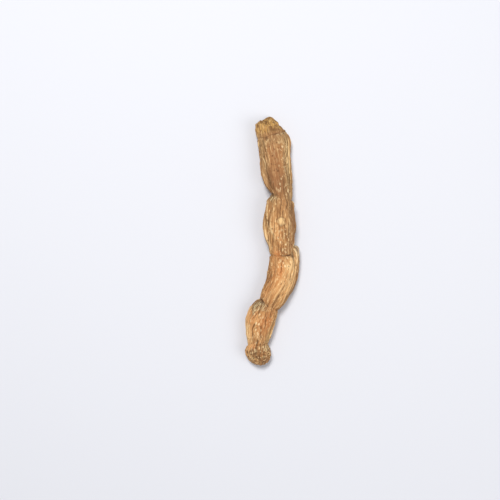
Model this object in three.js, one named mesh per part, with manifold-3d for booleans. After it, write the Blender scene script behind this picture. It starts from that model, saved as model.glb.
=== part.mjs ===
// A dried sweet flag rhizome, lying on a surface as it was cut: one grown piece.
//
// It is a slightly flattened stem that bends in an S. Rings where leaves once stood
// part it into internodes, which the drying has wrinkled lengthwise. The upper end is
// broken off at a slant, the old end is a rounded knob, and root scars stand out of
// the underside. +Z is up and +Y points at the broken end. The origin is the middle
// of the footprint, on the surface that the rhizome lies on. All sizes are in
// millimetres.

import * as THREE from "three";
import { mergeVertices } from "three/addons/utils/BufferGeometryUtils.js";
import Module from "manifold-3d";

// The middle line: one point every AXIS_STEP along -Y, with its sideways place and
// its height above the surface.
const AXIS_TOP_Y = 52.03;
const AXIS_STEP = 8.4;
const AXIS_X = [-1.5, -0.3, 1.0, 1.8, 2.4, 2.7, 3.2, 4.2, 4.0, 0.4, -3.9, -5.7, -6.0, -5.3];
const AXIS_Z = [5.9, 5.4, 5.1, 5.7, 6.2, 6.4, 6.0, 5.2, 4.6, 4.6, 4.4, 4.2, 4.0, 4.0];

// The half-widths to the left and to the right of the middle line, and the heights
// above and under it, at a distance below the broken end. A close pair of rows is the
// step at a ring.
const SECTIONS = [
  // below, left, right, up, down
  [-0.6, 5.0, 4.6, 3.9, 3.7],
  [3.4, 5.8, 4.7, 4.6, 4.4],
  [7.9, 6.1, 5.9, 5.0, 4.8],
  [8.8, 6.3, 6.5, 5.3, 5.1],
  [12.0, 6.5, 6.9, 5.6, 5.3],
  [17.0, 6.5, 6.4, 5.5, 5.1],
  [23.0, 6.4, 5.9, 5.2, 4.8],
  [27.0, 5.8, 5.6, 5.0, 4.6],
  [30.5, 4.8, 5.5, 4.95, 4.5],
  [33.9, 3.0, 5.4, 4.85, 4.3],
  [34.9, 3.4, 5.8, 5.05, 4.5],
  [36.8, 5.0, 6.4, 5.35, 4.7],
  [41.5, 6.3, 6.5, 5.6, 5.0],
  [45.5, 6.8, 6.5, 5.7, 5.0],
  [50.0, 6.3, 6.1, 5.3, 4.7],
  [54.5, 5.2, 5.5, 4.9, 4.4],
  [58.1, 4.9, 5.0, 4.75, 4.3],
  [59.0, 5.3, 5.3, 4.9, 4.5],
  [63.0, 5.9, 5.8, 5.0, 4.7],
  [69.0, 6.0, 6.0, 5.0, 4.7],
  [75.0, 5.3, 5.3, 4.75, 4.3],
  [78.9, 4.6, 4.7, 4.5, 4.1],
  [79.9, 5.0, 4.8, 4.65, 4.2],
  [83.0, 5.8, 5.4, 4.9, 4.5],
  [87.0, 5.9, 5.4, 4.9, 4.5],
  [91.0, 5.1, 5.1, 4.5, 4.2],
  [95.7, 4.4, 4.4, 4.25, 3.9],
  [96.7, 4.7, 4.7, 4.35, 4.0],
  [99.5, 5.3, 5.3, 4.5, 4.2],
  [104.5, 5.0, 5.0, 4.2, 3.9],
];

// The rings. lean tips a ring along the stem; point draws it towards the broken end on
// the side where the leaf stood; scar is how far the leaf's scar reaches below it there.
// cut is how deep the ring stays away from that side. Angles are measured from the
// right flank over the top.
const RINGS = [
  { below: 8.2, leanAcross: -0.5, leanOver: 0.3, leafAt: 0.3, point: 0.4, scar: 0.8, cut: 0.6 },
  { below: 34.2, leanAcross: 1.5, leanOver: 0.2, leafAt: 2.9, point: 0.8, scar: 2.2, cut: 0.25 },
  { below: 58.4, leanAcross: 0.1, leanOver: -0.2, leafAt: -0.05, point: 4.3, scar: 1.2, cut: 0.8 },
  { below: 79.2, leanAcross: 0.1, leanOver: 0.0, leafAt: 2.7, point: 0.5, scar: 4.2, cut: 0.9 },
  { below: 96.2, leanAcross: -0.3, leanOver: -0.4, leafAt: 0.4, point: 0.6, scar: 1.6, cut: 0.6 },
];
const RING_GROOVE_DEPTH = 0.4;
const RING_GROOVE_WIDTH = 0.4;
const RING_WOBBLE = 0.8;
const LEAF_WINDOW = 0.55; // radians, how wide the base of a leaf sat

// The slanting break at the upper end: how far below the end its rim lies.
const BREAK_MEAN = 3.9;
const BREAK_ACROSS = 1.5;
const BREAK_OVER = 1.5;
const BREAK_SADDLE = 1.0;
const BREAK_TIP = 1.7; // the spur that stands out on the underside
const BREAK_TIP_AT = -1.3;
const BREAK_TIP_WINDOW = 0.5;
const BREAK_SHOULDER = 1.3; // torn tissue that still stands on the left flank
const BREAK_SHOULDER_AT = 2.8;
const BREAK_SHOULDER_WINDOW = 0.5;
const BREAK_CENTRE_BELOW = 2.7;
const BREAK_CENTRE_UP = 0.6;
const BREAK_ROUGHNESS = 0.9;

// The knob at the old end.
const KNOB_FROM = 98.6;
const KNOB_REACH = 5.9;
const KNOB_TIP_ACROSS = 2.2; // its blunt tip lies to the right
const KNOB_LUMPS = 0.55;

// The scale left by a leaf, hugging the right flank below the third ring.
const SCALE = { from: 58.5, to: 67.5, at: -0.1, window: 0.6, height: 2.3, crease: 0.75 };

// Ridges drawn up by drying: two sets, the coarse ones few and long.
const RIDGE_SETS = [
  { around: 11, length: 20, height: 0.85, seed: 1 },
  { around: 18, length: 12, height: 0.6, seed: 2 },
];
const WANDER_AROUND = 5;
const WANDER_LENGTH = 24;
const WANDER = 0.5;
// Hardly any ridges stand on top of the fourth internode.
const SMOOTH = { below: 88.5, at: 1.75, length: 6.5, window: 0.95, share: 0.9 };

// Long creases, the first of them down the left of the second internode.
const CREASES = [
  { from: 36.0, to: 57.0, start: 2.15, end: 2.6, width: 0.15, depth: 0.75 },
  { from: 11.0, to: 32.0, start: 2.55, end: 2.2, width: 0.12, depth: 0.5 },
  { from: 63.0, to: 78.0, start: 0.9, end: 1.1, width: 0.13, depth: 0.35 },
];

// Root scars on the underside.
const ROOTS_PER_INTERNODE = 8;
const ROOT_RADIUS = 0.85;
const ROOT_STANDS_OUT = 0.5;
const ROOT_HOLLOW = 0.3; // how far the middle of a scar lies under its rim
const ROOT_SUNK = 1.6;
const ROOT_SPREAD = 1.15; // radians to each side of straight down
const ROOT_SIDES = 7;
const ROOT_SEED = 11;
// The knob has its own cluster of lower scars: distance below the broken end, angle
// and size.
const KNOB_SCAR_STANDS_OUT = 0.25;
const KNOB_SCARS = [
  [97.9, 0.95, 0.9],
  [99.6, 0.62, 0.85],
  [100.9, 1.15, 0.8],
  [98.2, 1.75, 0.7],
  [101.6, 2.1, 0.75],
  [99.9, -0.5, 0.9],
  [98.8, -1.4, 0.95],
];
const FLOOR_CLEARANCE = 0.1;

// The mesh.
const SIDES = 72;
const BREAK_ROWS = 5;
const KNOB_ROWS = 6;
const ROWS_PER_INTERNODE = [3, 16, 14, 12, 10, 2];

// Colour of the dried skin.
const SKIN = 0xb98f60;

const clamp = (value, low, high) => Math.min(high, Math.max(low, value));
const mix = (a, b, share) => a + (b - a) * share;
const ease = (t) => t * t * (3 - 2 * t);
const rise = (from, to, value) => ease(clamp((value - from) / (to - from), 0, 1));

// The signed difference between two angles, from -PI to PI.
function turn(a, b) {
  return Math.atan2(Math.sin(a - b), Math.cos(a - b));
}

// A bell of height 1 around angle `at`.
function around(angle, at, window) {
  const d = turn(angle, at) / window;
  return Math.exp(-d * d);
}

// A repeatable number from 0 to 1 for a lattice point.
function lattice(i, j, seed) {
  const s = Math.sin(i * 127.1 + j * 311.7 + seed * 74.7) * 43758.5453;
  return s - Math.floor(s);
}

// Smooth noise from 0 to 1: `cells` of it around the stem, and one every `length`.
function noise(angle, along, cells, length, seed) {
  const u = ((angle / (2 * Math.PI)) % 1 + 1) % 1 * cells;
  const v = along / length;
  const i = Math.floor(u);
  const j = Math.floor(v);
  const a = ease(u - i);
  const b = ease(v - j);
  const i0 = i % cells;
  const i1 = (i + 1) % cells;
  const low = mix(lattice(i0, j, seed), lattice(i1, j, seed), a);
  const high = mix(lattice(i0, j + 1, seed), lattice(i1, j + 1, seed), a);
  return mix(low, high, b);
}

// A curve through keyed rows that never overshoots them: a cubic between each two
// rows, whose slope at a row is the harmonic mean of its neighbours' slopes.
function through(rows, column, at) {
  const last = rows.length - 1;
  if (at <= rows[0][0]) return rows[0][column];
  if (at >= rows[last][0]) return rows[last][column];
  let k = 0;
  while (rows[k + 1][0] < at) k += 1;
  const secant = (n) => (rows[n + 1][column] - rows[n][column]) / (rows[n + 1][0] - rows[n][0]);
  const slope = (n) => {
    if (n === 0 || n === last) return secant(Math.min(n, last - 1));
    const before = secant(n - 1);
    const after = secant(n);
    return before * after <= 0 ? 0 : (2 * before * after) / (before + after);
  };
  const span = rows[k + 1][0] - rows[k][0];
  const t = (at - rows[k][0]) / span;
  const bend0 = slope(k) * span;
  const bend1 = slope(k + 1) * span;
  const p0 = rows[k][column];
  const p1 = rows[k + 1][column];
  return (
    (2 * t ** 3 - 3 * t ** 2 + 1) * p0 + (t ** 3 - 2 * t ** 2 + t) * bend0
    + (3 * t ** 2 - 2 * t ** 3) * p1 + (t ** 3 - t ** 2) * bend1
  );
}

const axisCurve = new THREE.CatmullRomCurve3(
  AXIS_X.map((x, i) => new THREE.Vector3(x, AXIS_TOP_Y - i * AXIS_STEP, AXIS_Z[i])),
  false,
  "catmullrom",
  0.5,
);

// The middle line's point, its sideways direction and its upward one, at a distance
// below the broken end.
function frameAt(below) {
  const t = below / (AXIS_STEP * (AXIS_X.length - 1));
  const inside = clamp(t, 0, 1);
  const point = axisCurve.getPoint(inside);
  const along = axisCurve.getTangent(clamp(t, 0.002, 0.998)).normalize();
  point.addScaledVector(along, (t - inside) * AXIS_STEP * (AXIS_X.length - 1));
  const right = new THREE.Vector3(0, 0, 1).cross(along).normalize();
  const up = along.clone().cross(right).normalize();
  return { point, along, right, up };
}

// How far a ring's line lies from its middle, at an angle.
function ringLean(ring, angle) {
  const wobble = noise(angle, ring.below, 7, 5, 3) - 0.5;
  return (
    ring.leanAcross * Math.cos(angle) + ring.leanOver * Math.sin(angle)
    - ring.point * around(angle, ring.leafAt, LEAF_WINDOW) + RING_WOBBLE * wobble
  );
}

// The rim of the break, as a distance below the broken end.
function breakRim(angle) {
  return (
    BREAK_MEAN + BREAK_ACROSS * Math.cos(angle) + BREAK_OVER * Math.sin(angle)
    + BREAK_SADDLE * Math.cos(2 * angle)
    - BREAK_TIP * around(angle, BREAK_TIP_AT, BREAK_TIP_WINDOW)
    - BREAK_SHOULDER * around(angle, BREAK_SHOULDER_AT, BREAK_SHOULDER_WINDOW)
    + 0.7 * (noise(angle, 0, 11, 5, 9) - 0.5)
  );
}

// Where the growth line `below` lies at an angle: it leans as the rings on each side.
function leaned(below, angle) {
  const lines = [
    { at: BREAK_MEAN, lean: breakRim(angle) - BREAK_MEAN },
    ...RINGS.map((ring) => ({ at: ring.below, lean: ringLean(ring, angle) })),
    { at: KNOB_FROM, lean: 0 },
  ];
  let k = 0;
  while (k < lines.length - 2 && lines[k + 1].at < below) k += 1;
  const share = clamp((below - lines[k].at) / (lines[k + 1].at - lines[k].at), 0, 1);
  return below + mix(lines[k].lean, lines[k + 1].lean, share);
}

// The ridges' height. A crest runs wherever a long, stretched noise crosses its middle.
function ridges(below, angle) {
  const wander = WANDER * (noise(angle, below, WANDER_AROUND, WANDER_LENGTH, 5) - 0.5);
  let height = 0;
  for (const set of RIDGE_SETS) {
    const n = noise(angle + wander, below, set.around, set.length, set.seed);
    height += set.height * (0.5 - 2.4 * Math.abs(n - 0.5));
  }
  return height;
}

// The height that wrinkles, rings, scars, creases and the scale add to the section.
function relief(below, angle) {
  let calm = 1;
  let height = 0;
  for (const ring of RINGS) {
    const d = below - ring.below;
    const cut = mix(ring.cut, 1, around(angle, ring.leafAt, 2 * LEAF_WINDOW));
    height -= RING_GROOVE_DEPTH * cut * Math.exp(-((d / RING_GROOVE_WIDTH) ** 2));
    calm *= 1 - 0.75 * Math.exp(-((d / 1.6) ** 2));
    const scar = 0.3 + ring.scar * around(angle, ring.leafAt, 2 * LEAF_WINDOW);
    height -= 0.3 * rise(0.1, 0.4, d) * (1 - rise(scar - 0.3, scar + 0.3, d));
  }
  for (const crease of CREASES) {
    const share = clamp((below - crease.from) / (crease.to - crease.from), 0, 1);
    const fade = Math.sin(Math.PI * share);
    height -= crease.depth * fade * around(angle, mix(crease.start, crease.end, share), crease.width);
  }
  const seed = RINGS.filter((ring) => ring.below < below).length;
  const bell = Math.exp(-(((below - SMOOTH.below) / SMOOTH.length) ** 2));
  calm *= 1 - SMOOTH.share * bell * around(angle, SMOOTH.at, SMOOTH.window);
  height += calm * ridges(below + 40 * seed, angle + seed);
  height += 0.5 * (noise(angle, below, 4, 9, 21) - 0.5);
  const share = clamp((below - SCALE.from) / (SCALE.to - SCALE.from), 0, 1);
  const edge = rise(0, 0.12, share) * (1 - share) ** 0.8;
  const inside = around(angle, SCALE.at, SCALE.window);
  height += SCALE.height * edge * inside ** 2;
  height -= 0.5 * edge * around(angle, SCALE.at + SCALE.crease, 0.12);
  return height;
}

// A point of the side: `below` counts along growth lines, `size` shrinks the section,
// and `lined` is the share of the relief that is left.
function sidePoint(below, angle, size = 1, lined = 1) {
  const { point, right, up } = frameAt(leaned(below, angle));
  const wide = through(SECTIONS, Math.cos(angle) < 0 ? 1 : 2, below);
  const high = through(SECTIONS, Math.sin(angle) > 0 ? 3 : 4, below);
  const add = lined * relief(below, angle);
  return point
    .addScaledVector(right, Math.cos(angle) * size * (wide + add))
    .addScaledVector(up, Math.sin(angle) * size * (high + add));
}

// A point of the broken face: `share` runs from its middle, 0, to its rim, 1.
function breakPoint(share, angle) {
  const { point, along, up } = frameAt(BREAK_CENTRE_BELOW);
  point.addScaledVector(up, BREAK_CENTRE_UP);
  const rim = sidePoint(BREAK_MEAN, angle);
  const rough = BREAK_ROUGHNESS * Math.sin(Math.PI * share) * (2 * noise(angle, 7 * share, 11, 2, 13) - 1);
  return point.lerp(rim, share).addScaledVector(along, rough);
}

// A point of the knob: `share` runs from where it starts, 0, to the very end, 1.
function knobPoint(share, angle) {
  const swing = (share * Math.PI) / 2;
  const below = KNOB_FROM + KNOB_REACH * Math.sin(swing);
  const lump = KNOB_LUMPS * (2 * noise(angle, share * 8, 6, 2.6, 17) - 1) * Math.sin(2 * swing);
  const { along, right } = frameAt(KNOB_FROM);
  const lined = 1 - rise(0.15, 0.6, share);
  return sidePoint(below, angle, Math.cos(swing) ** 0.95, lined)
    .addScaledVector(along, lump)
    .addScaledVector(right, KNOB_TIP_ACROSS * (1 - Math.cos(swing)));
}

// The rows of the mesh, each a function from an angle to a point, from the middle of
// the broken face down to the tip of the knob.
function rows() {
  const made = [];
  for (let i = 0; i < BREAK_ROWS; i += 1) {
    made.push((angle) => breakPoint(i / BREAK_ROWS, angle));
  }
  const stops = [BREAK_MEAN, ...RINGS.map((ring) => ring.below), KNOB_FROM];
  ROWS_PER_INTERNODE.forEach((count, k) => {
    for (let i = 0; i < count; i += 1) {
      const t = i / count;
      const crowded = mix(t, (1 - Math.cos(Math.PI * t)) / 2, 0.8);
      made.push((angle) => sidePoint(mix(stops[k], stops[k + 1], crowded), angle));
    }
  });
  for (let i = 0; i <= KNOB_ROWS; i += 1) {
    made.push((angle) => knobPoint(i / KNOB_ROWS, angle));
  }
  return made;
}

// The stem: a sphere's grid of vertices, each put on its place on the rhizome.
function stemGeometry() {
  const rowList = rows();
  const count = rowList.length - 1;
  const geometry = new THREE.SphereGeometry(1, SIDES, count);
  const position = geometry.getAttribute("position");
  for (let j = 0; j <= count; j += 1) {
    for (let i = 0; i <= SIDES; i += 1) {
      const angle = (-2 * Math.PI * (i % SIDES)) / SIDES;
      const p = rowList[j](angle);
      position.setXYZ(j * (SIDES + 1) + i, p.x, p.y, Math.max(p.z, 0));
    }
  }
  return geometry;
}

// A solid of manifold-3d from a closed three.js geometry.
function solidOf(wasm, geometry) {
  const bare = geometry.clone();
  bare.deleteAttribute("normal");
  bare.deleteAttribute("uv");
  const merged = mergeVertices(bare, 1e-4);
  return new wasm.Manifold(
    new wasm.Mesh({
      numProp: 3,
      vertProperties: merged.attributes.position.array,
      triVerts: new Uint32Array(merged.index.array),
    }),
  );
}

// A three.js geometry from a manifold-3d solid.
function geometryOf(solid) {
  const mesh = solid.getMesh();
  const points = new Float32Array(mesh.numVert * 3);
  for (let i = 0; i < mesh.numVert; i += 1) {
    points.set(mesh.vertProperties.subarray(i * mesh.numProp, i * mesh.numProp + 3), i * 3);
  }
  return new THREE.BufferGeometry()
    .setAttribute("position", new THREE.BufferAttribute(points, 3))
    .setIndex(new THREE.BufferAttribute(mesh.triVerts, 1));
}

// Where the roots stood: scattered under each internode by seeded numbers.
function rootPlaces() {
  const stops = [...RINGS.map((ring) => ring.below), KNOB_FROM];
  const places = [];
  for (let k = 0; k < stops.length - 2; k += 1) {
    for (let i = 0; i < ROOTS_PER_INTERNODE; i += 1) {
      const share = (i + 0.3 + 0.4 * lattice(i, k, ROOT_SEED)) / ROOTS_PER_INTERNODE;
      const swing = 2 * lattice(i, k, ROOT_SEED + 1) - 1;
      const size = 0.8 + 0.45 * lattice(i, k, ROOT_SEED + 2);
      places.push({
        below: mix(stops[k] + 2, stops[k + 1] - 2, share),
        angle: -Math.PI / 2 + ROOT_SPREAD * swing,
        size,
        standsOut: ROOT_STANDS_OUT,
      });
    }
  }
  for (const [below, angle, size] of KNOB_SCARS) {
    places.push({ below, angle, size, standsOut: KNOB_SCAR_STANDS_OUT });
  }
  return places;
}

// Presses the middle of a cylinder's upper cap down.
function hollowTop(cylinder, top, depth) {
  const position = cylinder.getAttribute("position");
  for (let i = 0; i < position.count; i += 1) {
    const onAxis = Math.hypot(position.getX(i), position.getZ(i)) < 1e-6;
    if (onAxis && position.getY(i) > top - 1e-6) position.setY(i, top - depth);
  }
}

// A point of the skin, on the side or on the knob.
function skinPoint(below, angle) {
  if (below < KNOB_FROM) return sidePoint(below, angle);
  return knobPoint((Math.asin((below - KNOB_FROM) / KNOB_REACH) * 2) / Math.PI, angle);
}

// One root scar: a short stub, sunk well into the stem and square to its skin. It is
// left out where it would reach the surface that the rhizome lies on.
function rootGeometry({ below, angle, size, standsOut }) {
  const foot = skinPoint(below, angle);
  const { point } = frameAt(below);
  const out = foot.clone().sub(point).normalize();
  const radius = ROOT_RADIUS * size;
  const height = standsOut * size;
  const low = foot.z + out.z * height - radius * Math.sqrt(1 - out.z ** 2);
  if (low < FLOOR_CLEARANCE) return null;
  const length = ROOT_SUNK + height;
  const stub = new THREE.CylinderGeometry(0.8 * radius, 1.15 * radius, length, ROOT_SIDES, 1);
  hollowTop(stub, length / 2, ROOT_HOLLOW * size);
  stub.translate(0, height - length / 2, 0);
  stub.applyQuaternion(new THREE.Quaternion().setFromUnitVectors(new THREE.Vector3(0, 1, 0), out));
  return stub.translate(foot.x, foot.y, foot.z);
}

const wasm = await Module();
wasm.setup();

let solid = solidOf(wasm, stemGeometry());
for (const place of rootPlaces()) {
  const stub = rootGeometry(place);
  if (stub) solid = solid.add(solidOf(wasm, stub));
}

const rhizome = new THREE.Mesh(
  geometryOf(solid),
  new THREE.MeshStandardMaterial({ color: SKIN, roughness: 0.85, metalness: 0 }),
);
rhizome.name = "rhizome";

const part = new THREE.Group();
part.add(rhizome);

export default part;
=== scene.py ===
"""A dried sweet flag rhizome: wrinkled skin, leaf rings, root scars and both of its ends.

The CAD model holds the same stem with its main forms. Here the stem's formula is
repeated, finer wrinkles, pits, scars and fibres are laid over it, and the skin is
coloured by what each spot of it is. Shapes are worked out in millimetres, in the CAD
model's frame, and become metres when a mesh is made.

A place on the stem is given by two values: below, a growth line's distance below the
broken end, and angle, counted in radians from the right flank over the top.
"""

import logging
import math
from dataclasses import dataclass, field
from enum import Enum

import bpy
import numpy as np
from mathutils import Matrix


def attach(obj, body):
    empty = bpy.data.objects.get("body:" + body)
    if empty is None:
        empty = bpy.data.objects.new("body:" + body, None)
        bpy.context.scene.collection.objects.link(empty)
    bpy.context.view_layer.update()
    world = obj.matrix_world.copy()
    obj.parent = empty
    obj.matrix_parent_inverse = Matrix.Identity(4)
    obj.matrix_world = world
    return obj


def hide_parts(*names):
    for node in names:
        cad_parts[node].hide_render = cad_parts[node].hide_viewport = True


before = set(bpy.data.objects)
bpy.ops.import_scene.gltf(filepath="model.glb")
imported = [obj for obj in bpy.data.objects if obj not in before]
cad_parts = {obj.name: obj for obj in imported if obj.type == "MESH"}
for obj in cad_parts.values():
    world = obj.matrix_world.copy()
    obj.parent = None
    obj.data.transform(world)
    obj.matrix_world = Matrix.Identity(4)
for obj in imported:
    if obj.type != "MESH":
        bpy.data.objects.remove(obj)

LOG = logging.getLogger("rhizome")
NODE = "rhizome"
BODY = "root"
# Metres in a millimetre.
MM = 0.001
# The radius that turns angles into distances round the stem, in millimetres.
MEAN_RADIUS = 5.5
# What the lattice's numbers are made with: factors in a sine, and the sine's size.
LATTICE_FACTORS = (127.1, 311.7, 74.7)
LATTICE_SIZE = 43758.5453
# How far apart two layers of the solid noise lie on the lattice.
LAYER_SHIFT = 57.3
Array = np.ndarray


def ease(t: Array) -> Array:
    """Gives the smooth step t * t * (3 - 2t)."""
    return t * t * (3 - 2 * t)


def rise(start: float | Array, end: float | Array, value: Array) -> Array:
    """Rises smoothly from 0 at start to 1 at end.

    Args:
        start: where the rise begins.
        end: where it is complete.
        value: where it is wanted.

    Returns:
        The smooth step of value between start and end.
    """
    return ease(np.clip((value - start) / (end - start), 0, 1))


def bell(ratio: Array) -> Array:
    """Gives 1 at 0, falling on both sides as exp(-ratio * ratio)."""
    return np.exp(-(ratio**2))


def turn_from(at: float | Array, angle: Array) -> Array:
    """Gives the shortest turn from one angle to another, in radians."""
    return np.arctan2(np.sin(angle - at), np.cos(angle - at))


def around(angle: Array, at: float, window: float) -> Array:
    """Gives a bell round the stem.

    Args:
        angle: angles, in radians.
        at: the angle of the bell's middle.
        window: its half-width, in radians.

    Returns:
        The bell of the shortest turn from at, over window.
    """
    return bell(turn_from(at, angle) / window)


def crest(value: Array) -> Array:
    """Turns noise into narrow crests: 0.5 at its middle, less 2.4 times what it is off it."""
    return 0.5 - 2.4 * np.abs(value - 0.5)


def lattice(i: Array, j: Array, seed: int) -> Array:
    """Gives a repeatable number from 0 to 1 for each lattice point.

    Args:
        i: the point's place round the stem.
        j: its place along the stem.
        seed: tells one lattice from another.

    Returns:
        The broken part of a large sine of the three.
    """
    factor_i, factor_j, factor_seed = LATTICE_FACTORS
    s = np.sin(i * factor_i + j * factor_j + seed * factor_seed) * LATTICE_SIZE
    return s - np.floor(s)


def mix_corners(i: Array, after: Array, j: Array, a: Array, b: Array, seed: int) -> Array:
    """Mixes the lattice numbers at the four corners of a cell.

    Args:
        i: the cell's lower place in the first direction.
        after: its upper place in that direction.
        j: its lower place in the second direction.
        a: the upper corners' share in the first direction.
        b: their share in the second direction.
        seed: tells one lattice from another.

    Returns:
        The mean of the four, weighted by the shares.
    """
    low = lattice(i, j, seed) * (1 - a) + lattice(after, j, seed) * a
    high = lattice(i, j + 1, seed) * (1 - a) + lattice(after, j + 1, seed) * a
    return low * (1 - b) + high * b


@dataclass(frozen=True)
class RoundNoise:
    """Smooth noise from 0 to 1 that closes on itself round the stem.

    It has cells of them round the stem, each length millimetres long, and its seed
    tells it from others.
    """

    cells: int
    length: float
    seed: int

    def at(self, angle: Array, along: Array) -> Array:
        """Gives the noise at places on the stem.

        Args:
            angle: angles, in radians.
            along: distances along the stem, in millimetres.

        Returns:
            The four nearest lattice numbers, mixed by smooth steps.
        """
        u = np.mod(angle / (2 * np.pi), 1) * self.cells
        v = along / self.length
        i, j = np.floor(u), np.floor(v)
        first, after = np.mod(i, self.cells), np.mod(i + 1, self.cells)
        return mix_corners(first, after, j, ease(u - i), ease(v - j), self.seed)

    def centred(self, angle: Array, along: Array) -> Array:
        """Gives the noise less its mean, from -0.5 to 0.5."""
        return self.at(angle, along) - 0.5

    def crests(self, angle: Array, along: Array) -> Array:
        """Gives the noise turned into narrow crests."""
        return crest(self.at(angle, along))


@dataclass(frozen=True)
class PlaneNoise:
    """Smooth noise from 0 to 1 on a plane, with square cells of a side in millimetres."""

    cell: float
    seed: int

    def at(self, x: Array, y: Array) -> Array:
        """Gives the noise at points of the plane.

        Args:
            x: one coordinate, in millimetres.
            y: the other, in millimetres.

        Returns:
            The four nearest lattice numbers, mixed by smooth steps.
        """
        u, v = x / self.cell, y / self.cell
        i, j = np.floor(u), np.floor(v)
        return mix_corners(i, i + 1, j, ease(u - i), ease(v - j), self.seed)


@dataclass(frozen=True)
class SolidNoise:
    """Smooth noise from 0 to 1 in space, with cubic cells of a side in millimetres."""

    cell: float
    seed: int

    def at(self, points: Array) -> Array:
        """Gives the noise at points of space.

        Args:
            points: points in millimetres, their coordinates last.

        Returns:
            The eight nearest lattice numbers, mixed by smooth steps.
        """
        spots = points / self.cell
        corner = np.floor(spots)
        share = ease(spots - corner)
        total = np.zeros(points.shape[:-1])
        for offset in np.ndindex(2, 2, 2):
            near = corner + offset
            weight = np.prod(np.where(np.array(offset) == 1, share, 1 - share), axis=-1)
            layered = near[..., 1] + LAYER_SHIFT * near[..., 2]
            total = total + weight * lattice(near[..., 0], layered, self.seed)
        return total


@dataclass(frozen=True)
class ThinLines:
    """Thin lengthwise lines, drawn where a stretched noise crosses its middle.

    The noise's slope turns its values into distances, so that the lines keep their
    half-width, in millimetres, where it is nearly flat. They fade where they would
    turn round the stem: where too little of the slope points across it. least_slope
    and tiny_slope keep a flat noise from being divided by nothing.
    """

    noise: RoundNoise
    width: float
    step: float = 0.1
    least_slope: float = 0.04
    tiny_slope: float = 0.001
    across_share: tuple[float, float] = (0.75, 0.97)

    def draw(self, angle: Array, along: Array) -> Array:
        """Draws the lines.

        Args:
            angle: angles, in radians.
            along: distances along the stem, in millimetres.

        Returns:
            1 in the middle of a line, falling to 0 beside it.
        """
        middle = self.noise.at(angle, along)
        turned = self.noise.at(angle + self.step / MEAN_RADIUS, along)
        across = (turned - middle) / self.step
        down = (self.noise.at(angle, along + self.step) - middle) / self.step
        slope = np.hypot(across, down)
        distance = np.abs(middle - 0.5) / np.maximum(slope, self.least_slope)
        lengthwise = np.abs(across) / np.maximum(slope, self.tiny_slope)
        return bell(distance / self.width) * rise(*self.across_share, lengthwise)


@dataclass(frozen=True)
class Pits:
    """Round pits of a mean radius in millimetres, one in each cell of a jittered grid.

    A pit's radius is least_size times the mean, or up to one mean radius more.
    """

    cells: int
    length: float
    radius: float
    seed: int
    depth: float
    least_size: float = 0.5

    def draw(self, angle: Array, along: Array) -> Array:
        """Scatters the pits.

        Args:
            angle: angles, in radians.
            along: distances along the stem, in millimetres.

        Returns:
            1 in the middle of a pit, falling smoothly to 0 at its edge.
        """
        u = np.mod(angle / (2 * np.pi), 1) * self.cells
        v = along / self.length
        cell_width = 2 * np.pi * MEAN_RADIUS / self.cells
        most = np.zeros(np.broadcast(angle, along).shape)
        for du in (-1, 0, 1):
            for dv in (-1, 0, 1):
                i, j = np.floor(u) + du, np.floor(v) + dv
                wrapped = np.mod(i, self.cells)
                x = (i + lattice(wrapped, j, self.seed) - u) * cell_width
                y = (j + lattice(wrapped, j, self.seed + 1) - v) * self.length
                size = self.radius * (self.least_size + lattice(wrapped, j, self.seed + 2))
                most = np.maximum(most, 1 - rise(0.0, 1.0, np.hypot(x, y) / size))
        return most


@dataclass(frozen=True)
class KnobRelief:
    """Lumps and cracks of the old end, from solid noises: heights in millimetres.

    A crack runs where its noise is less than about the crack's width off its middle.
    """

    swells: SolidNoise = SolidNoise(2.4, 81)
    swell_height: float = 0.9
    folds: SolidNoise = SolidNoise(1.7, 82)
    fold_height: float = 0.55
    grains: SolidNoise = SolidNoise(0.9, 83)
    grain_height: float = 0.35
    wide_cracks: SolidNoise = SolidNoise(1.5, 84)
    wide: float = 0.09
    fine_cracks: SolidNoise = SolidNoise(0.8, 85)
    fine: float = 0.11
    fine_strength: float = 0.7
    crack_depth: float = 0.22

    def cracks(self, spot: Array) -> Array:
        """Draws the cracks.

        Args:
            spot: the knob's own coordinates, in millimetres.

        Returns:
            The stronger of two sets: the bell of a noise's distance from its middle.
        """
        wide = bell((self.wide_cracks.at(spot) - 0.5) / self.wide)
        fine = bell((self.fine_cracks.at(spot) - 0.5) / self.fine)
        return np.maximum(wide, self.fine_strength * fine)

    def lumps(self, spot: Array) -> Array:
        """Gives the height of the lumps, less the cracks.

        Args:
            spot: the knob's own coordinates, in millimetres.

        Returns:
            A centred noise and the crests of two finer ones, less the cracks' depth.
        """
        swells = self.swell_height * (self.swells.at(spot) - 0.5)
        lumps = swells + self.fold_height * crest(self.folds.at(spot))
        lumps = lumps + self.grain_height * crest(self.grains.at(spot))
        return lumps - self.crack_depth * self.cracks(spot)


@dataclass(frozen=True)
class TornTissue:
    """Torn tissue over the broken face, from plane noises: heights in millimetres."""

    clods: PlaneNoise = PlaneNoise(1.3, 61)
    clod_height: float = 0.9
    edges: PlaneNoise = PlaneNoise(0.7, 62)
    edge_height: float = 0.6
    crumbs: PlaneNoise = PlaneNoise(0.35, 63)
    crumb_height: float = 0.35

    def height(self, x: Array, z: Array) -> Array:
        """Gives the tissue's height.

        Args:
            x: places across the face, in millimetres.
            z: places up the face, in millimetres.

        Returns:
            A centred noise, the crests of a finer one and the finest one, centred.
        """
        clods = self.clod_height * (self.clods.at(x, z) - 0.5)
        height = clods + self.edge_height * crest(self.edges.at(x, z))
        return height + self.crumb_height * (self.crumbs.at(x, z) - 0.5)


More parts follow.
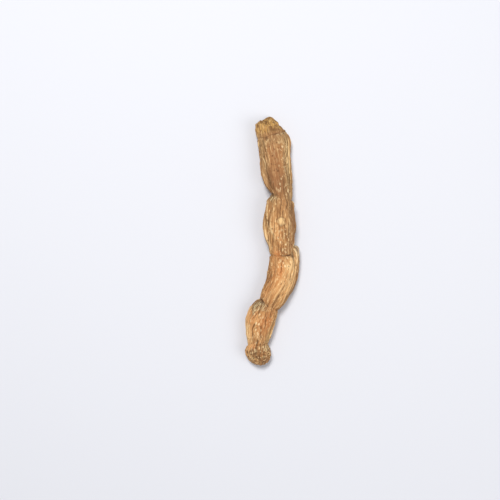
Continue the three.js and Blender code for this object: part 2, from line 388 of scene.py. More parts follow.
def through(rows: Array, column: int, at: Array) -> Array:
    """Runs a curve through keyed rows without overshooting them.

    Between two rows it is a cubic. Its slope at a row is the harmonic mean of the
    slopes on both sides, or 0 where they differ in sign.

    Args:
        rows: one row for each key, the key first.
        column: which value of the rows is wanted.
        at: the keys at which it is wanted.

    Returns:
        The curve's values.
    """
    keys, values = rows[:, 0], rows[:, column]
    secant = np.diff(values) / np.diff(keys)
    before, after = secant[:-1], secant[1:]
    total = np.where(before + after == 0, 1, before + after)
    inner = np.where(before * after <= 0, 0, 2 * before * after / total)
    slope = np.concatenate([secant[:1], inner, secant[-1:]])
    x = np.clip(at, keys[0], keys[-1])
    k = np.clip(np.searchsorted(keys, x, side="left") - 1, 0, len(keys) - 2)
    span = keys[k + 1] - keys[k]
    t = (x - keys[k]) / span
    start = (2 * t**3 - 3 * t**2 + 1) * values[k] + (t**3 - 2 * t**2 + t) * slope[k] * span
    end = (3 * t**2 - 2 * t**3) * values[k + 1] + (t**3 - t**2) * slope[k + 1] * span
    return start + end


@dataclass(frozen=True)
class Axis:
    """The stem's middle line: a smooth curve through points evenly spaced along -Y.

    Its direction is taken a little inside its ends, by the share inset.
    """

    top_y: float = 52.03
    step: float = 8.4
    x: tuple[float, ...] = (
        -1.5, -0.3, 1.0, 1.8, 2.4, 2.7, 3.2,
        4.2, 4.0, 0.4, -3.9, -5.7, -6.0, -5.3,
    )
    z: tuple[float, ...] = (5.9, 5.4, 5.1, 5.7, 6.2, 6.4, 6.0, 5.2, 4.6, 4.6, 4.4, 4.2, 4.0, 4.0)
    inset: float = 0.002

    def curve(self, t: Array) -> tuple[Array, Array]:
        """Works out the Catmull-Rom curve, with its end points mirrored outwards.

        Args:
            t: 0 at the broken end, 1 at the old end.

        Returns:
            The points, and the unit directions along the curve.
        """
        y = self.top_y - self.step * np.arange(len(self.x))
        knots = np.stack([np.array(self.x), y, np.array(self.z)], axis=-1)
        padded = np.concatenate([2 * knots[:1] - knots[1:2], knots, 2 * knots[-1:] - knots[-2:-1]])
        place = t * (len(knots) - 1)
        k = np.clip(np.floor(place).astype(int), 0, len(knots) - 2)
        w = (place - k)[..., None]
        before, start, end, after = (padded[k + n] for n in range(4))
        leave, arrive = (end - before) / 2, (after - start) / 2
        square = -3 * start + 3 * end - 2 * leave - arrive
        cube = 2 * start - 2 * end + leave + arrive
        point = start + leave * w + square * w**2 + cube * w**3
        along = leave + 2 * square * w + 3 * cube * w**2
        return point, along / np.linalg.norm(along, axis=-1, keepdims=True)

    def frames(self, below: Array) -> tuple[Array, Array, Array, Array]:
        """Gives the stem's own frame at distances below the broken end.

        Args:
            below: the distances, in millimetres.

        Returns:
            Points of the middle line, and directions along it, to the right and up.
        """
        length = self.step * (len(self.x) - 1)
        t = below / length
        inside = np.clip(t, 0, 1)
        point, _ = self.curve(inside)
        _, along = self.curve(np.clip(t, self.inset, 1 - self.inset))
        point = point + along * ((t - inside) * length)[..., None]
        right = np.cross([0.0, 0.0, 1.0], along)
        right /= np.linalg.norm(right, axis=-1, keepdims=True)
        return point, along, right, np.cross(along, right)


@dataclass(frozen=True)
class RingInk:
    """How the dark line in a ring is drawn: uneven, and broken where it has healed."""

    window: float = 0.75
    contrast: float = 1.9
    healed: float = 0.25
    most: float = 1.3
    strength: RoundNoise = RoundNoise(19, 6, 71)
    slow_stray: float = 0.6
    slow: RoundNoise = RoundNoise(17, 6, 74)
    quick_stray: float = 0.35
    quick: RoundNoise = RoundNoise(31, 6, 72)
    thinnest: float = 0.19
    thicker: float = 0.28
    thickness: RoundNoise = RoundNoise(23, 6, 73)

    def draw(self, past: Array, flat: Array, angle: Array) -> Array:
        """Draws the line.

        Args:
            past: distances past the ring, in millimetres.
            flat: the ring's own place, once for each of them.
            angle: angles round the stem.

        Returns:
            A bell of the distance from a line that strays, times an uneven strength.
        """
        uneven = np.clip(self.contrast * self.strength.at(angle, flat) - self.healed, 0, self.most)
        stray = self.slow_stray * self.slow.centred(angle, flat)
        stray = stray + self.quick_stray * self.quick.centred(angle, flat)
        width = self.thinnest + self.thicker * self.thickness.at(angle, flat)
        return uneven * bell((past - stray) / width)


@dataclass(frozen=True)
class Ring:
    """A ring left by a leaf: its place, how it leans, and where the leaf stood.

    Its line is drawn up by point where the leaf stood, and the leaf's scar is scar
    longer there than its bare length. cut is how deep the groove stays away from the
    leaf's side. The dark line in it has the strength ink, and ink_more on top of that
    round the angle ink_at. All lengths are in millimetres, and the scar's two ends
    fade in over scar_start and out over scar_fade both ways.
    """

    below: float
    lean_across: float
    lean_over: float
    leaf_at: float
    point: float
    scar: float
    cut: float
    ink: float
    ink_at: float
    ink_more: float
    window: float = 0.55
    wobble: float = 0.8
    wobbling: RoundNoise = RoundNoise(7, 5, 3)
    drawn: RingInk = RingInk()
    bare_scar: float = 0.3
    scar_start: tuple[float, float] = (0.1, 0.4)
    scar_fade: float = 0.3

    def lean(self, angle: Array) -> Array:
        """Gives how far the ring's line lies below its middle.

        Args:
            angle: angles round the stem.

        Returns:
            A tilted plane's cosine and sine, less the leaf's point, plus some wobble.
        """
        stray = self.wobbling.centred(angle, np.full_like(angle, self.below))
        tilt = self.lean_across * np.cos(angle) + self.lean_over * np.sin(angle)
        point = self.point * around(angle, self.leaf_at, self.window)
        return tilt - point + self.wobble * stray

    def groove(self, below: Array, angle: Array, width: float) -> Array:
        """Gives the groove's share of its full depth.

        Args:
            below: growth lines.
            angle: angles round the stem.
            width: the groove's half-width, in millimetres.

        Returns:
            A bell across the ring, full at the leaf's side and cut elsewhere.
        """
        near = around(angle, self.leaf_at, 2 * self.window)
        depth = self.cut * (1 - near) + near
        return depth * bell((below - self.below) / width)

    def line(self, below: Array, angle: Array) -> Array:
        """Gives the dark line's strength.

        Args:
            below: growth lines.
            angle: angles round the stem.

        Returns:
            The ring's ink, times the uneven line.
        """
        strength = self.ink + self.ink_more * around(angle, self.ink_at, self.drawn.window)
        flat = np.full_like(below, self.below)
        return strength * self.drawn.draw(below - self.below, flat, angle)

    def band(self, below: Array, angle: Array) -> Array:
        """Maps the leaf scar that follows the ring.

        Args:
            below: growth lines.
            angle: angles round the stem.

        Returns:
            1 on the scar, which is longest where the leaf stood, and 0 off it.
        """
        deep = self.bare_scar + self.scar * around(angle, self.leaf_at, 2 * self.window)
        past = below - self.below
        ended = rise(deep - self.scar_fade, deep + self.scar_fade, past)
        return rise(*self.scar_start, past) * (1 - ended)


@dataclass(frozen=True)
class Crease:
    """A long furrow, or a rib, that runs down the stem from one angle to another.

    Its half-width is in radians. A furrow's depth is in millimetres, and a rib's is
    how strongly it is drawn.
    """

    start_below: float
    end_below: float
    start_angle: float
    end_angle: float
    width: float
    depth: float

    def cut(self, below: Array, angle: Array) -> Array:
        """Gives the furrow's depth.

        Args:
            below: growth lines.
            angle: angles round the stem.

        Returns:
            Half a sine wave from its start to its end, times a bell across it.
        """
        share = np.clip((below - self.start_below) / (self.end_below - self.start_below), 0, 1)
        middle = self.start_angle + (self.end_angle - self.start_angle) * share
        return self.depth * np.sin(np.pi * share) * bell(turn_from(middle, angle) / self.width)


# Pale ribs that slant down the left of the second internode.
PALE_RIBS = (
    Crease(40.5, 53.0, 2.3, 1.92, 0.075, 1.3),
    Crease(44.5, 57.5, 2.8, 2.5, 0.1, 1.5),
    Crease(35.5, 44.5, 2.62, 2.42, 0.1, 1.3),
)


@dataclass(frozen=True)
class LeafScale:
    """The foot of a leaf that still hugs the right flank below the third ring.

    It lies round the angle at, from start to end. Its groove is crease radians beside
    it. lip is the steep part's share of its length, and taper the power by which the
    rest thins out. It is worn where it stands out by the heights in worn, and less so
    further down, over worn_fade.
    """

    start: float = 58.5
    end: float = 67.5
    at: float = -0.1
    window: float = 0.6
    height: float = 2.3
    crease: float = 0.75
    crease_window: float = 0.12
    crease_depth: float = 0.5
    lip: float = 0.12
    taper: float = 0.8
    worn: tuple[float, float] = (0.3, 1.4)
    worn_fade: tuple[float, float] = (61.0, 65.0)

    def edge(self, below: Array) -> Array:
        """Gives the scale's profile along the stem: a steep lip, then a long taper."""
        share = np.clip((below - self.start) / (self.end - self.start), 0, 1)
        return rise(0.0, self.lip, share) * (1 - share) ** self.taper

    def lift(self, below: Array, angle: Array) -> Array:
        """Gives the scale's height over the stem, less the groove beside it.

        Args:
            below: growth lines.
            angle: angles round the stem.

        Returns:
            Its profile times a squared bell round the stem, less the groove's depth.
        """
        body = self.height * self.edge(below) * around(angle, self.at, self.window) ** 2
        return body - self.crease_depth * self.gap(below, angle)

    def gap(self, below: Array, angle: Array) -> Array:
        """Gives the groove beside the scale, from 0 to 1."""
        return self.edge(below) * around(angle, self.at + self.crease, self.crease_window)

    def bleached(self, below: Array, angle: Array) -> Array:
        """Maps the scale's worn upper part, by how far it stands out of the stem."""
        return rise(*self.worn, self.lift(below, angle)) * (1 - rise(*self.worn_fade, below))


@dataclass(frozen=True)
class BrokenEnd:
    """The slanting break: a rim that dips on top and runs out to a spur underneath.

    The rim lies mean below the end. across, over and saddle are the sizes of its
    waves, tip and shoulder those of its two tongues, and jag is how ragged it is. The
    face's middle lies centre_below the end and centre_up over the middle line. The
    torn tissue fades out near the rim, over the share whole_rim.
    """

    mean: float = 3.9
    across: float = 1.5
    over: float = 1.5
    saddle: float = 1.0
    tip: float = 1.7
    tip_at: float = -1.3
    tip_window: float = 0.5
    shoulder: float = 1.3
    shoulder_at: float = 2.8
    shoulder_window: float = 0.5
    jag: float = 0.7
    jagged: RoundNoise = RoundNoise(11, 5, 9)
    centre_below: float = 2.7
    centre_up: float = 0.6
    roughness: float = 0.9
    rough: RoundNoise = RoundNoise(11, 2, 13)
    rough_reach: float = 7.0
    tissue: TornTissue = TornTissue()
    whole_rim: float = 0.12

    def rim(self, angle: Array) -> Array:
        """Gives how far below the end the rim lies.

        Args:
            angle: angles round the stem.

        Returns:
            Waves once and twice round the rim, less a spur and a shoulder, plus jags.
        """
        wave = self.across * np.cos(angle) + self.over * np.sin(angle)
        wave = wave + self.saddle * np.cos(2 * angle)
        spur = self.tip * around(angle, self.tip_at, self.tip_window)
        spur = spur + self.shoulder * around(angle, self.shoulder_at, self.shoulder_window)
        jag = self.jag * self.jagged.centred(angle, np.zeros_like(angle))
        return self.mean + wave - spur + jag


@dataclass(frozen=True)
class Knob:
    """The rounded old end: a quarter circle in length, on which lumps come up.

    start is where it begins and reach how far it goes. Its width falls as a cosine to
    the power roundness, and dents of that many millimetres follow the noise denting.
    The lengthwise lines of the stem fade over bare_from, lumps push sideways from
    rough_from and lengthwise from tip_from, all as shares of the way to the tip.
    """

    start: float = 98.6
    reach: float = 5.9
    tip_across: float = 2.2
    roundness: float = 0.95
    dents: float = 0.55
    denting: RoundNoise = RoundNoise(6, 2.6, 17)
    dent_reach: float = 8.0
    relief: KnobRelief = KnobRelief()
    bare_from: tuple[float, float] = (0.15, 0.6)
    rough_from: tuple[float, float] = (0.0, 0.3)
    tip_from: tuple[float, float] = (0.4, 0.9)

    def below(self, share: Array) -> Array:
        """Gives the growth lines at shares of the quarter circle."""
        return self.start + self.reach * np.sin(share * np.pi / 2)

    def lined(self, share: Array) -> Array:
        """Gives how much of the lengthwise lines is left: none at the tip."""
        return 1 - rise(*self.bare_from, share)

    def spots(self, share: Array, angle: Array) -> Array:
        """Gives the knob's own coordinates, which don't crowd together at its tip.

        Args:
            share: 0 where the knob starts, 1 at its tip.
            angle: angles round the stem.

        Returns:
            Points of a smooth round end on the straightened stem, in millimetres.
        """
        across = MEAN_RADIUS * np.cos(share * np.pi / 2)
        return np.stack([across * np.cos(angle), across * np.sin(angle), self.below(share)], -1)


# One row for each place: below, left, right, up, down, as in the CAD model.
SECTIONS = np.array(
    [
        [-0.6, 5.0, 4.6, 3.9, 3.7],
        [3.4, 5.8, 4.7, 4.6, 4.4],
        [7.9, 6.1, 5.9, 5.0, 4.8],
        [8.8, 6.3, 6.5, 5.3, 5.1],
        [12.0, 6.5, 6.9, 5.6, 5.3],
        [17.0, 6.5, 6.4, 5.5, 5.1],
        [23.0, 6.4, 5.9, 5.2, 4.8],
        [27.0, 5.8, 5.6, 5.0, 4.6],
        [30.5, 4.8, 5.5, 4.95, 4.5],
        [33.9, 3.0, 5.4, 4.85, 4.3],
        [34.9, 3.4, 5.8, 5.05, 4.5],
        [36.8, 5.0, 6.4, 5.35, 4.7],
        [41.5, 6.3, 6.5, 5.6, 5.0],
        [45.5, 6.8, 6.5, 5.7, 5.0],
        [50.0, 6.3, 6.1, 5.3, 4.7],
        [54.5, 5.2, 5.5, 4.9, 4.4],
        [58.1, 4.9, 5.0, 4.75, 4.3],
        [59.0, 5.3, 5.3, 4.9, 4.5],
        [63.0, 5.9, 5.8, 5.0, 4.7],
        [69.0, 6.0, 6.0, 5.0, 4.7],
        [75.0, 5.3, 5.3, 4.75, 4.3],
        [78.9, 4.6, 4.7, 4.5, 4.1],
        [79.9, 5.0, 4.8, 4.65, 4.2],
        [83.0, 5.8, 5.4, 4.9, 4.5],
        [87.0, 5.9, 5.4, 4.9, 4.5],
        [91.0, 5.1, 5.1, 4.5, 4.2],
        [95.7, 4.4, 4.4, 4.25, 3.9],
        [96.7, 4.7, 4.7, 4.35, 4.0],
        [99.5, 5.3, 5.3, 4.5, 4.2],
        [104.5, 5.0, 5.0, 4.2, 3.9],
    ]
)


@dataclass(frozen=True)
class Patch:
    """A spot of the skin with its own tint: its place, its half-sizes and strength."""

    below: float
    angle: float
    length: float
    window: float
    strength: float = 1.0

    def cover(self, below: Array, angle: Array) -> Array:
        """Gives the patch's strength at each place, fading as a bell both ways."""
        along = bell((below - self.below) / self.length)
        return self.strength * along * around(angle, self.angle, self.window)


# Where drying has drawn up hardly any ridges: the top of the fourth internode.
SMOOTH = Patch(88.5, 1.75, 6.5, 0.95, 0.9)
# Where only the fine wrinkles are weaker: the middle of the first internode, and the
# lower parts of the second and third.
PLUMP = (
    Patch(21.0, 1.6, 9.0, 0.42, 0.8),
    Patch(53.0, 1.2, 5.0, 0.75, 0.85),
    Patch(73.5, 1.5, 5.0, 0.8),
)


@dataclass(frozen=True)
class Stem:
    """The stem's main forms, as the CAD model has them: heights in millimetres.

    Its ridges stray over wander_reach radians, and lose ring_calm of their
    height at a ring. Each internode takes them from another part of the noises,
    internode_shift further on.
    """

    axis: Axis = Axis()
    sections: Array = field(default_factory=lambda: SECTIONS)
    rings: tuple[Ring, ...] = (
        Ring(8.2, -0.5, 0.3, 0.3, 0.4, 0.8, 0.6, 0.35, 0.9, 0.4),
        Ring(34.2, 1.5, 0.2, 2.9, 0.8, 2.2, 0.25, 0.2, 2.6, 1.0),
        Ring(58.4, 0.1, -0.2, -0.05, 4.3, 1.2, 0.8, 0.3, 0.9, 0.6),
        Ring(79.2, 0.1, 0.0, 2.7, 0.5, 4.2, 0.9, 0.7, 1.9, 0.6),
        Ring(96.2, -0.3, -0.4, 0.4, 0.6, 1.6, 0.6, 0.25, 0.7, 0.7),
    )
    creases: tuple[Crease, ...] = (
        Crease(36.0, 57.0, 2.15, 2.6, 0.15, 0.75),
        Crease(11.0, 32.0, 2.55, 2.2, 0.12, 0.5),
        Crease(63.0, 78.0, 0.9, 1.1, 0.13, 0.35),
    )
    broken: BrokenEnd = BrokenEnd()
    scale: LeafScale = LeafScale()
    knob: Knob = Knob()
    groove_depth: float = 0.4
    groove_width: float = 0.4
    scar_depth: float = 0.3
    wander_reach: float = 0.5
    wandering: RoundNoise = RoundNoise(5, 24, 5)
    coarse: float = 0.85
    coarse_ridges: RoundNoise = RoundNoise(11, 20, 1)
    fine: float = 0.6
    fine_ridges: RoundNoise = RoundNoise(18, 12, 2)
    ring_calm: float = 0.75
    ring_reach: float = 1.6
    internode_shift: float = 40.0
    swell: float = 0.5
    swelling: RoundNoise = RoundNoise(4, 9, 21)

    def leaned(self, below: Array, angle: Array) -> Array:
        """Finds where a growth line lies at an angle: it leans as the rings beside it.

        Args:
            below: the growth lines, by their mean distance below the broken end.
            angle: angles round the stem.

        Returns:
            The distances below the broken end, in millimetres.
        """
        places = [self.broken.mean] + [ring.below for ring in self.rings] + [self.knob.start]
        leans = [self.broken.rim(angle) - self.broken.mean]
        leans += [ring.lean(angle) for ring in self.rings] + [np.zeros_like(angle)]
        spots = np.array(places)
        k = np.clip(np.searchsorted(spots, below, side="left") - 1, 0, len(spots) - 2)
        share = np.clip((below - spots[k]) / (spots[k + 1] - spots[k]), 0, 1)
        stack = np.stack(leans)
        low = np.take_along_axis(stack, k[None], axis=0)[0]
        high = np.take_along_axis(stack, k[None] + 1, axis=0)[0]
        return below + low * (1 - share) + high * share

    def wander(self, below: Array, angle: Array) -> Array:
        """Gives how far the ridges stray sideways, in radians."""
        return self.wander_reach * self.wandering.centred(angle, below)

    def ridges(self, below: Array, angle: Array) -> Array:
        """Gives the height of the two sets of ridges drawn up by drying.

        Args:
            below: places along the noises.
            angle: angles round the stem.

        Returns:
            The crests of two noises, one coarse and one fine, that stray sideways.
        """
        strayed = angle + self.wander(below, angle)
        coarse = self.coarse * self.coarse_ridges.crests(strayed, below)
        return coarse + self.fine * self.fine_ridges.crests(strayed, below)

    def calm(self, below: Array) -> Array:
        """Gives 1 between the rings, falling as a bell to a quarter at each of them."""
        level = np.ones_like(below)
        for ring in self.rings:
            level = level * (1 - self.ring_calm * bell((below - ring.below) / self.ring_reach))
        return level

    def ridged(self, below: Array, angle: Array) -> Array:
        """Gives the ridges' height: each internode has its own, flat at its rings.

        Args:
            below: growth lines.
            angle: angles round the stem.

        Returns:
            The ridges, moved on and turned by the number of rings passed, and calmed.
        """
        passed = sum((below > ring.below).astype(float) for ring in self.rings)
        shifted = below + self.internode_shift * passed
        height = self.calm(below) * self.ridges(shifted, angle + passed)
        return height * (1 - SMOOTH.cover(below, angle))

    def creased(self, below: Array, angle: Array) -> Array:
        """Gives the depth of the long furrows, in millimetres."""
        return sum(crease.cut(below, angle) for crease in self.creases)

    def relief(self, below: Array, angle: Array) -> Array:
        """Adds up what rings, scars, creases, ridges and the scale do to the section.

        Args:
            below: growth lines.
            angle: angles round the stem.

        Returns:
            Heights over the plain section, in millimetres.
        """
        height = np.zeros_like(below)
        for ring in self.rings:
            height = height - self.groove_depth * ring.groove(below, angle, self.groove_width)
            height = height - self.scar_depth * ring.band(below, angle)
        height = height + self.ridged(below, angle) - self.creased(below, angle)
        height = height + self.swell * self.swelling.centred(angle, below)
        return height + self.scale.lift(below, angle)

    def side(self, below: Array, angle: Array, size: Array, extra: Array) -> Array:
        """Works out points of the side.

        The section is four quarter-ellipses, whose half-axes run through SECTIONS.

        Args:
            below: growth lines.
            angle: angles round the stem.
            size: what the section is scaled by.
            extra: finer heights laid over the relief, in millimetres.

        Returns:
            Points, in millimetres.
        """
        point, _, right, up = self.axis.frames(self.leaned(below, angle))
        wide = np.where(
            np.cos(angle) < 0, through(self.sections, 1, below), through(self.sections, 2, below)
        )
        high = np.where(
            np.sin(angle) > 0, through(self.sections, 3, below), through(self.sections, 4, below)
        )
        add = self.relief(below, angle) + extra
        across = (np.cos(angle) * size * (wide + add))[..., None] * right
        return point + across + (np.sin(angle) * size * (high + add))[..., None] * up


@dataclass(frozen=True)
class Scar:
    """A round scar where a root stood: place, radius and how far it stands out."""

    below: float
    angle: float
    radius: float
    height: float


@dataclass(frozen=True)
class RootScars:
    """The root scars: seeded ones under each internode, and a cluster on the knob.

    Distances from a scar's middle are shares of its radius: its rim falls over
    outside, and its hollow over inside. They are blurred by an uneven noise.
    """

    per_internode: int = 8
    first: float = 0.3
    jitter: float = 0.4
    clear_of_rings: float = 2.0
    radius: float = 0.85
    height: float = 0.5
    least_size: float = 0.8
    more_size: float = 0.45
    spread: float = 1.15
    seed: int = 11
    outside: tuple[float, float] = (0.75, 1.3)
    inside: tuple[float, float] = (0.15, 0.62)
    hollow_depth: float = 0.75
    uneven: RoundNoise = RoundNoise(34, 0.95, 87)
    uneven_share: float = 0.4
    knob_height: float = 0.25
    knob_scars: tuple[tuple[float, float, float], ...] = (
        (97.9, 0.95, 0.9),
        (99.6, 0.62, 0.85),
        (100.9, 1.15, 0.8),
        (98.2, 1.75, 0.7),
        (101.6, 2.1, 0.75),
        (99.9, -0.5, 0.9),
        (98.8, -1.4, 0.95),
    )

    def scars(self, stem: Stem) -> list[Scar]:
        """Lists the scars.

        Args:
            stem: the stem that they are on.

        Returns:
            Scars in the CAD model's places, then the knob's own.
        """
        stops = [ring.below for ring in stem.rings] + [stem.knob.start]
        found = []
        for k in range(len(stops) - 2):
            room = stops[k + 1] - stops[k] - 2 * self.clear_of_rings
            for i in range(self.per_internode):
                chance = [float(lattice(i, k, self.seed + n)) for n in range(3)]
                share = (i + self.first + self.jitter * chance[0]) / self.per_internode
                swing = 2 * chance[1] - 1
                size = self.least_size + self.more_size * chance[2]
                below = stops[k] + self.clear_of_rings + room * share
                angle = -math.pi / 2 + self.spread * swing
                found.append(Scar(below, angle, self.radius * size, self.height * size))
        for below, angle, size in self.knob_scars:
            found.append(Scar(below, angle, self.radius * size, self.knob_height * size))
        return found

    def mark(self, stem: Stem, below: Array, angle: Array) -> tuple[Array, Array, Array]:
        """Shapes and maps the scars.

        Each is a low mound with a hollow: its height falls from the rim to nothing
        outside, and dips inside, by smooth steps of the distance from its middle.

        Args:
            stem: the stem that they are on.
            below: growth lines.
            angle: angles round the stem.

        Returns:
            Heights in millimetres, then masks of the rims and of the hollows.
        """
        height, rims, eyes = (np.zeros_like(below) for _ in range(3))
        blur = 1 - self.uneven_share / 2 + self.uneven_share * self.uneven.at(angle, below)
        for scar in self.scars(stem):
            turn = turn_from(scar.angle, angle)
            r = np.hypot(below - scar.below, turn * MEAN_RADIUS) / scar.radius
            r = r * blur
            mound = 1 - rise(*self.outside, r)
            hollow = 1 - rise(*self.inside, r)
            height = height + scar.height * (mound - self.hollow_depth * hollow)
            rims = np.maximum(rims, mound - hollow)
            eyes = np.maximum(eyes, hollow)
        return height, rims, eyes


@dataclass(frozen=True)
class OvalScar:
    """The small pale scar on top of the second internode: a low rim round a hollow.

    Its rim lies where its map has the value rim_at, and its floor where it is above
    the values in floor.
    """

    patch: Patch = Patch(44.1, 1.5, 1.5, 0.235)
    least: float = 0.65
    more: float = 0.6
    uneven: RoundNoise = RoundNoise(31, 1.1, 88)
    rim_height: float = 0.12
    rim_at: float = 0.3
    rim_width: float = 0.16
    depth: float = 0.14
    floor: tuple[float, float] = (0.4, 0.8)

    def map(self, below: Array, angle: Array) -> Array:
        """Maps the scar, its edge uneven: about 1 in its middle, 0 off it."""
        edge = self.least + self.more * self.uneven.at(angle, below)
        return self.patch.cover(below, angle) * edge

    def height(self, below: Array, angle: Array) -> Array:
        """Gives the scar's height.

        Args:
            below: growth lines.
            angle: angles round the stem.

        Returns:
            A bell where the map has the rim's value, less a step inside, in millimetres.
        """
        oval = self.map(below, angle)
        rim = self.rim_height * bell((oval - self.rim_at) / self.rim_width)
        return rim - self.depth * rise(*self.floor, oval)


@dataclass(frozen=True)
class Wrinkles:
    """The fine drying wrinkles, pits and frayed rings, too small for the CAD model.

    Each set has its noise and its height in millimetres. The names that end in calm
    say what share of a set is lost where the skin is plump or smooth, or on the knob.
    """

    stray_reach: float = 0.42
    straying: RoundNoise = RoundNoise(9, 7, 31)
    coarse: float = 0.36
    coarse_lines: RoundNoise = RoundNoise(27, 14, 36)
    middle: float = 0.26
    middle_lines: RoundNoise = RoundNoise(46, 5.5, 34)
    fine: float = 0.14
    fine_lines: RoundNoise = RoundNoise(83, 3.4, 35)
    fine_stray: float = 1.6
    patches: RoundNoise = RoundNoise(5, 9, 37)
    patch_least: float = 0.6
    patch_more: float = 0.7
    smooth_calm: float = 0.6
    plump_calm: float = 0.5
    ring_least: float = 0.35
    ring_more: float = 0.65
    knob_calm: float = 0.45
    side_pits: float = 0.5
    slit: float = 0.3
    slit_lines: ThinLines = ThinLines(RoundNoise(29, 9, 47), 0.2)
    slit_gate: RoundNoise = RoundNoise(8, 7, 48)
    slit_open: tuple[float, float] = (0.3, 0.55)
    slit_calm: float = 0.7
    rib: float = 0.2
    rib_lines: ThinLines = ThinLines(RoundNoise(25, 11, 49), 0.24)
    rib_gate: RoundNoise = RoundNoise(7, 8, 50)
    rib_open: tuple[float, float] = (0.35, 0.6)
    rib_calm: float = 0.5
    pale_rib_stray: float = 0.35
    torn: float = 0.4
    torn_fade: tuple[float, float] = (5.0, 8.4)
    shred_height: float = 1.6
    broad_shreds: RoundNoise = RoundNoise(19, 1.9, 54)
    thin_shreds: RoundNoise = RoundNoise(37, 1.5, 53)
    cross: float = 0.05
    cross_stray: float = 3.0
    cross_creases: RoundNoise = RoundNoise(24, 0.9, 39)
    pits: Pits = Pits(30, 1.9, 0.42, 41, 0.16)
    knob_from: tuple[float, float] = (95.5, 98.5)
    lump: float = 0.6
    side_lumps: RoundNoise = RoundNoise(13, 1.9, 45)
    fray: float = 0.28
    fray_start: tuple[float, float] = (0.15, 0.6)
    fray_end: tuple[float, float] = (0.9, 2.6)
    stumps: RoundNoise = RoundNoise(61, 2.2, 51)

    def stray(self, stem: Stem, below: Array, angle: Array) -> Array:
        """Gives how far fine wrinkles stray sideways, in radians."""
        return stem.wander(below, angle) + self.stray_reach * self.straying.centred(angle, below)

    @staticmethod
    def plump(below: Array, angle: Array) -> Array:
        """Gives 1 where the skin is plump and its fine wrinkles weak, and 0 elsewhere."""
        return sum(patch.cover(below, angle) for patch in PLUMP)

    def shreds(self, angle: Array, below: Array) -> Array:
        """Gives the relief of the shredded tissue round the break, about -1 to 1."""
        broad = self.shred_height * self.broad_shreds.centred(angle, below)
        return broad + self.thin_shreds.crests(angle, below)

    def slits(self, stem: Stem, below: Array, angle: Array) -> Array:
        """Draws narrow furrows.

        Args:
            stem: the stem that they are on.
            below: growth lines.
            angle: angles round the stem.

        Returns:
            Thin lines from 0 to 1, let through in patches, and less where it is plump.
        """
        gate = rise(*self.slit_open, self.slit_gate.at(angle, below))
        gate = gate * (1 - self.slit_calm * self.plump(below, angle))
        return gate * self.slit_lines.draw(angle + self.stray(stem, below, angle), below)

    def ribs(self, stem: Stem, below: Array, angle: Array) -> Array:
        """Draws narrow raised lines.

        Args:
            stem: the stem that they are on.
            below: growth lines.
            angle: angles round the stem.

        Returns:
            Thin lines, let through in patches, and the second internode's pale ribs.
        """
        stray = self.stray(stem, below, angle)
        gate = rise(*self.rib_open, self.rib_gate.at(angle, below))
        gate = gate * (1 - self.rib_calm * self.plump(below, angle))
        lines = gate * self.rib_lines.draw(angle + stray, below)
        for rib in PALE_RIBS:
            lines = np.maximum(lines, rib.cut(below, angle + self.pale_rib_stray * stray))
        return lines

    def height(self, stem: Stem, below: Array, angle: Array) -> Array:
        """Adds up lengthwise wrinkles of three sizes, ribs, slits, cross creases and pits.

        Args:
            stem: the stem that they are on.
            below: growth lines.
            angle: angles round the stem.

        Returns:
            Heights, in millimetres: the lines are patchy, and calm near the rings and
            on the knob. The pits are deepest on the knob.
        """
        stray = self.stray(stem, below, angle)
        patchy = self.patch_least + self.patch_more * self.patches.at(angle, below)
        lines = self.coarse * self.coarse_lines.crests(angle + stray, below)
        lines = lines + self.middle * self.middle_lines.crests(angle + stray, below)
        weak = 1 - self.smooth_calm * SMOOTH.cover(below, angle)
        lines = lines * (weak - self.plump_calm * self.plump(below, angle))
        lines = lines + self.fine * self.fine_lines.crests(angle + self.fine_stray * stray, below)
        near_break = self.torn * (1 - rise(*self.torn_fade, below))
        lines = lines + near_break * self.shreds(angle, below)
        lines = lines + self.rib * self.ribs(stem, below, angle)
        lines = lines - self.slit * self.slits(stem, below, angle)
        cross = self.cross * self.cross_creases.centred(angle, below + self.cross_stray * stray)
        holes = self.pits.depth * self.pits.draw(angle, below) ** 2
        knob = rise(*self.knob_from, below)
        calm = self.ring_least + self.ring_more * stem.calm(below)
        calm = calm * (1 - self.knob_calm * knob)
        return calm * patchy * lines + cross - (self.side_pits + knob) * holes

    def lumps(self, below: Array, angle: Array) -> Array:
        """Gives the height of lumps on the knob's side, in millimetres."""
        return self.lump * self.side_lumps.centred(angle, below) * rise(*self.knob_from, below)

    def frayed(self, stem: Stem, below: Array, angle: Array) -> Array:
        """Raises ragged lengthwise stumps just below each ring.

        Args:
            stem: the stem that they are on.
            below: growth lines.
            angle: angles round the stem.

        Returns:
            The crests of a narrow noise in a band below each ring, in millimetres.
        """
        height = np.zeros_like(below)
        for ring in stem.rings:
            past = below - ring.below
            near = rise(*self.fray_start, past) * (1 - rise(*self.fray_end, past))
            height = height + near * self.fray * self.stumps.crests(angle, below)
        return height


class Tint(Enum):
    """The tints that patches lay on the skin, or what they bring out there.

    BLUSH is orange, UMBER a dull brown, STRAW pale and GREY olive; STRAW on the upper
    left of the fourth internode is a painted highlight. SPECK is where beads of pale
    cork lie, and DARK_SPOT_AND_SHADE marks dark spots and painted shade in notches and creases.
    """

    BLUSH = "blush"
    UMBER = "umber"
    STRAW = "straw"
    GREY = "grey"
    SPECK = "speck"
    DARK_SPOT_AND_SHADE = "dark_spot_and_shade"


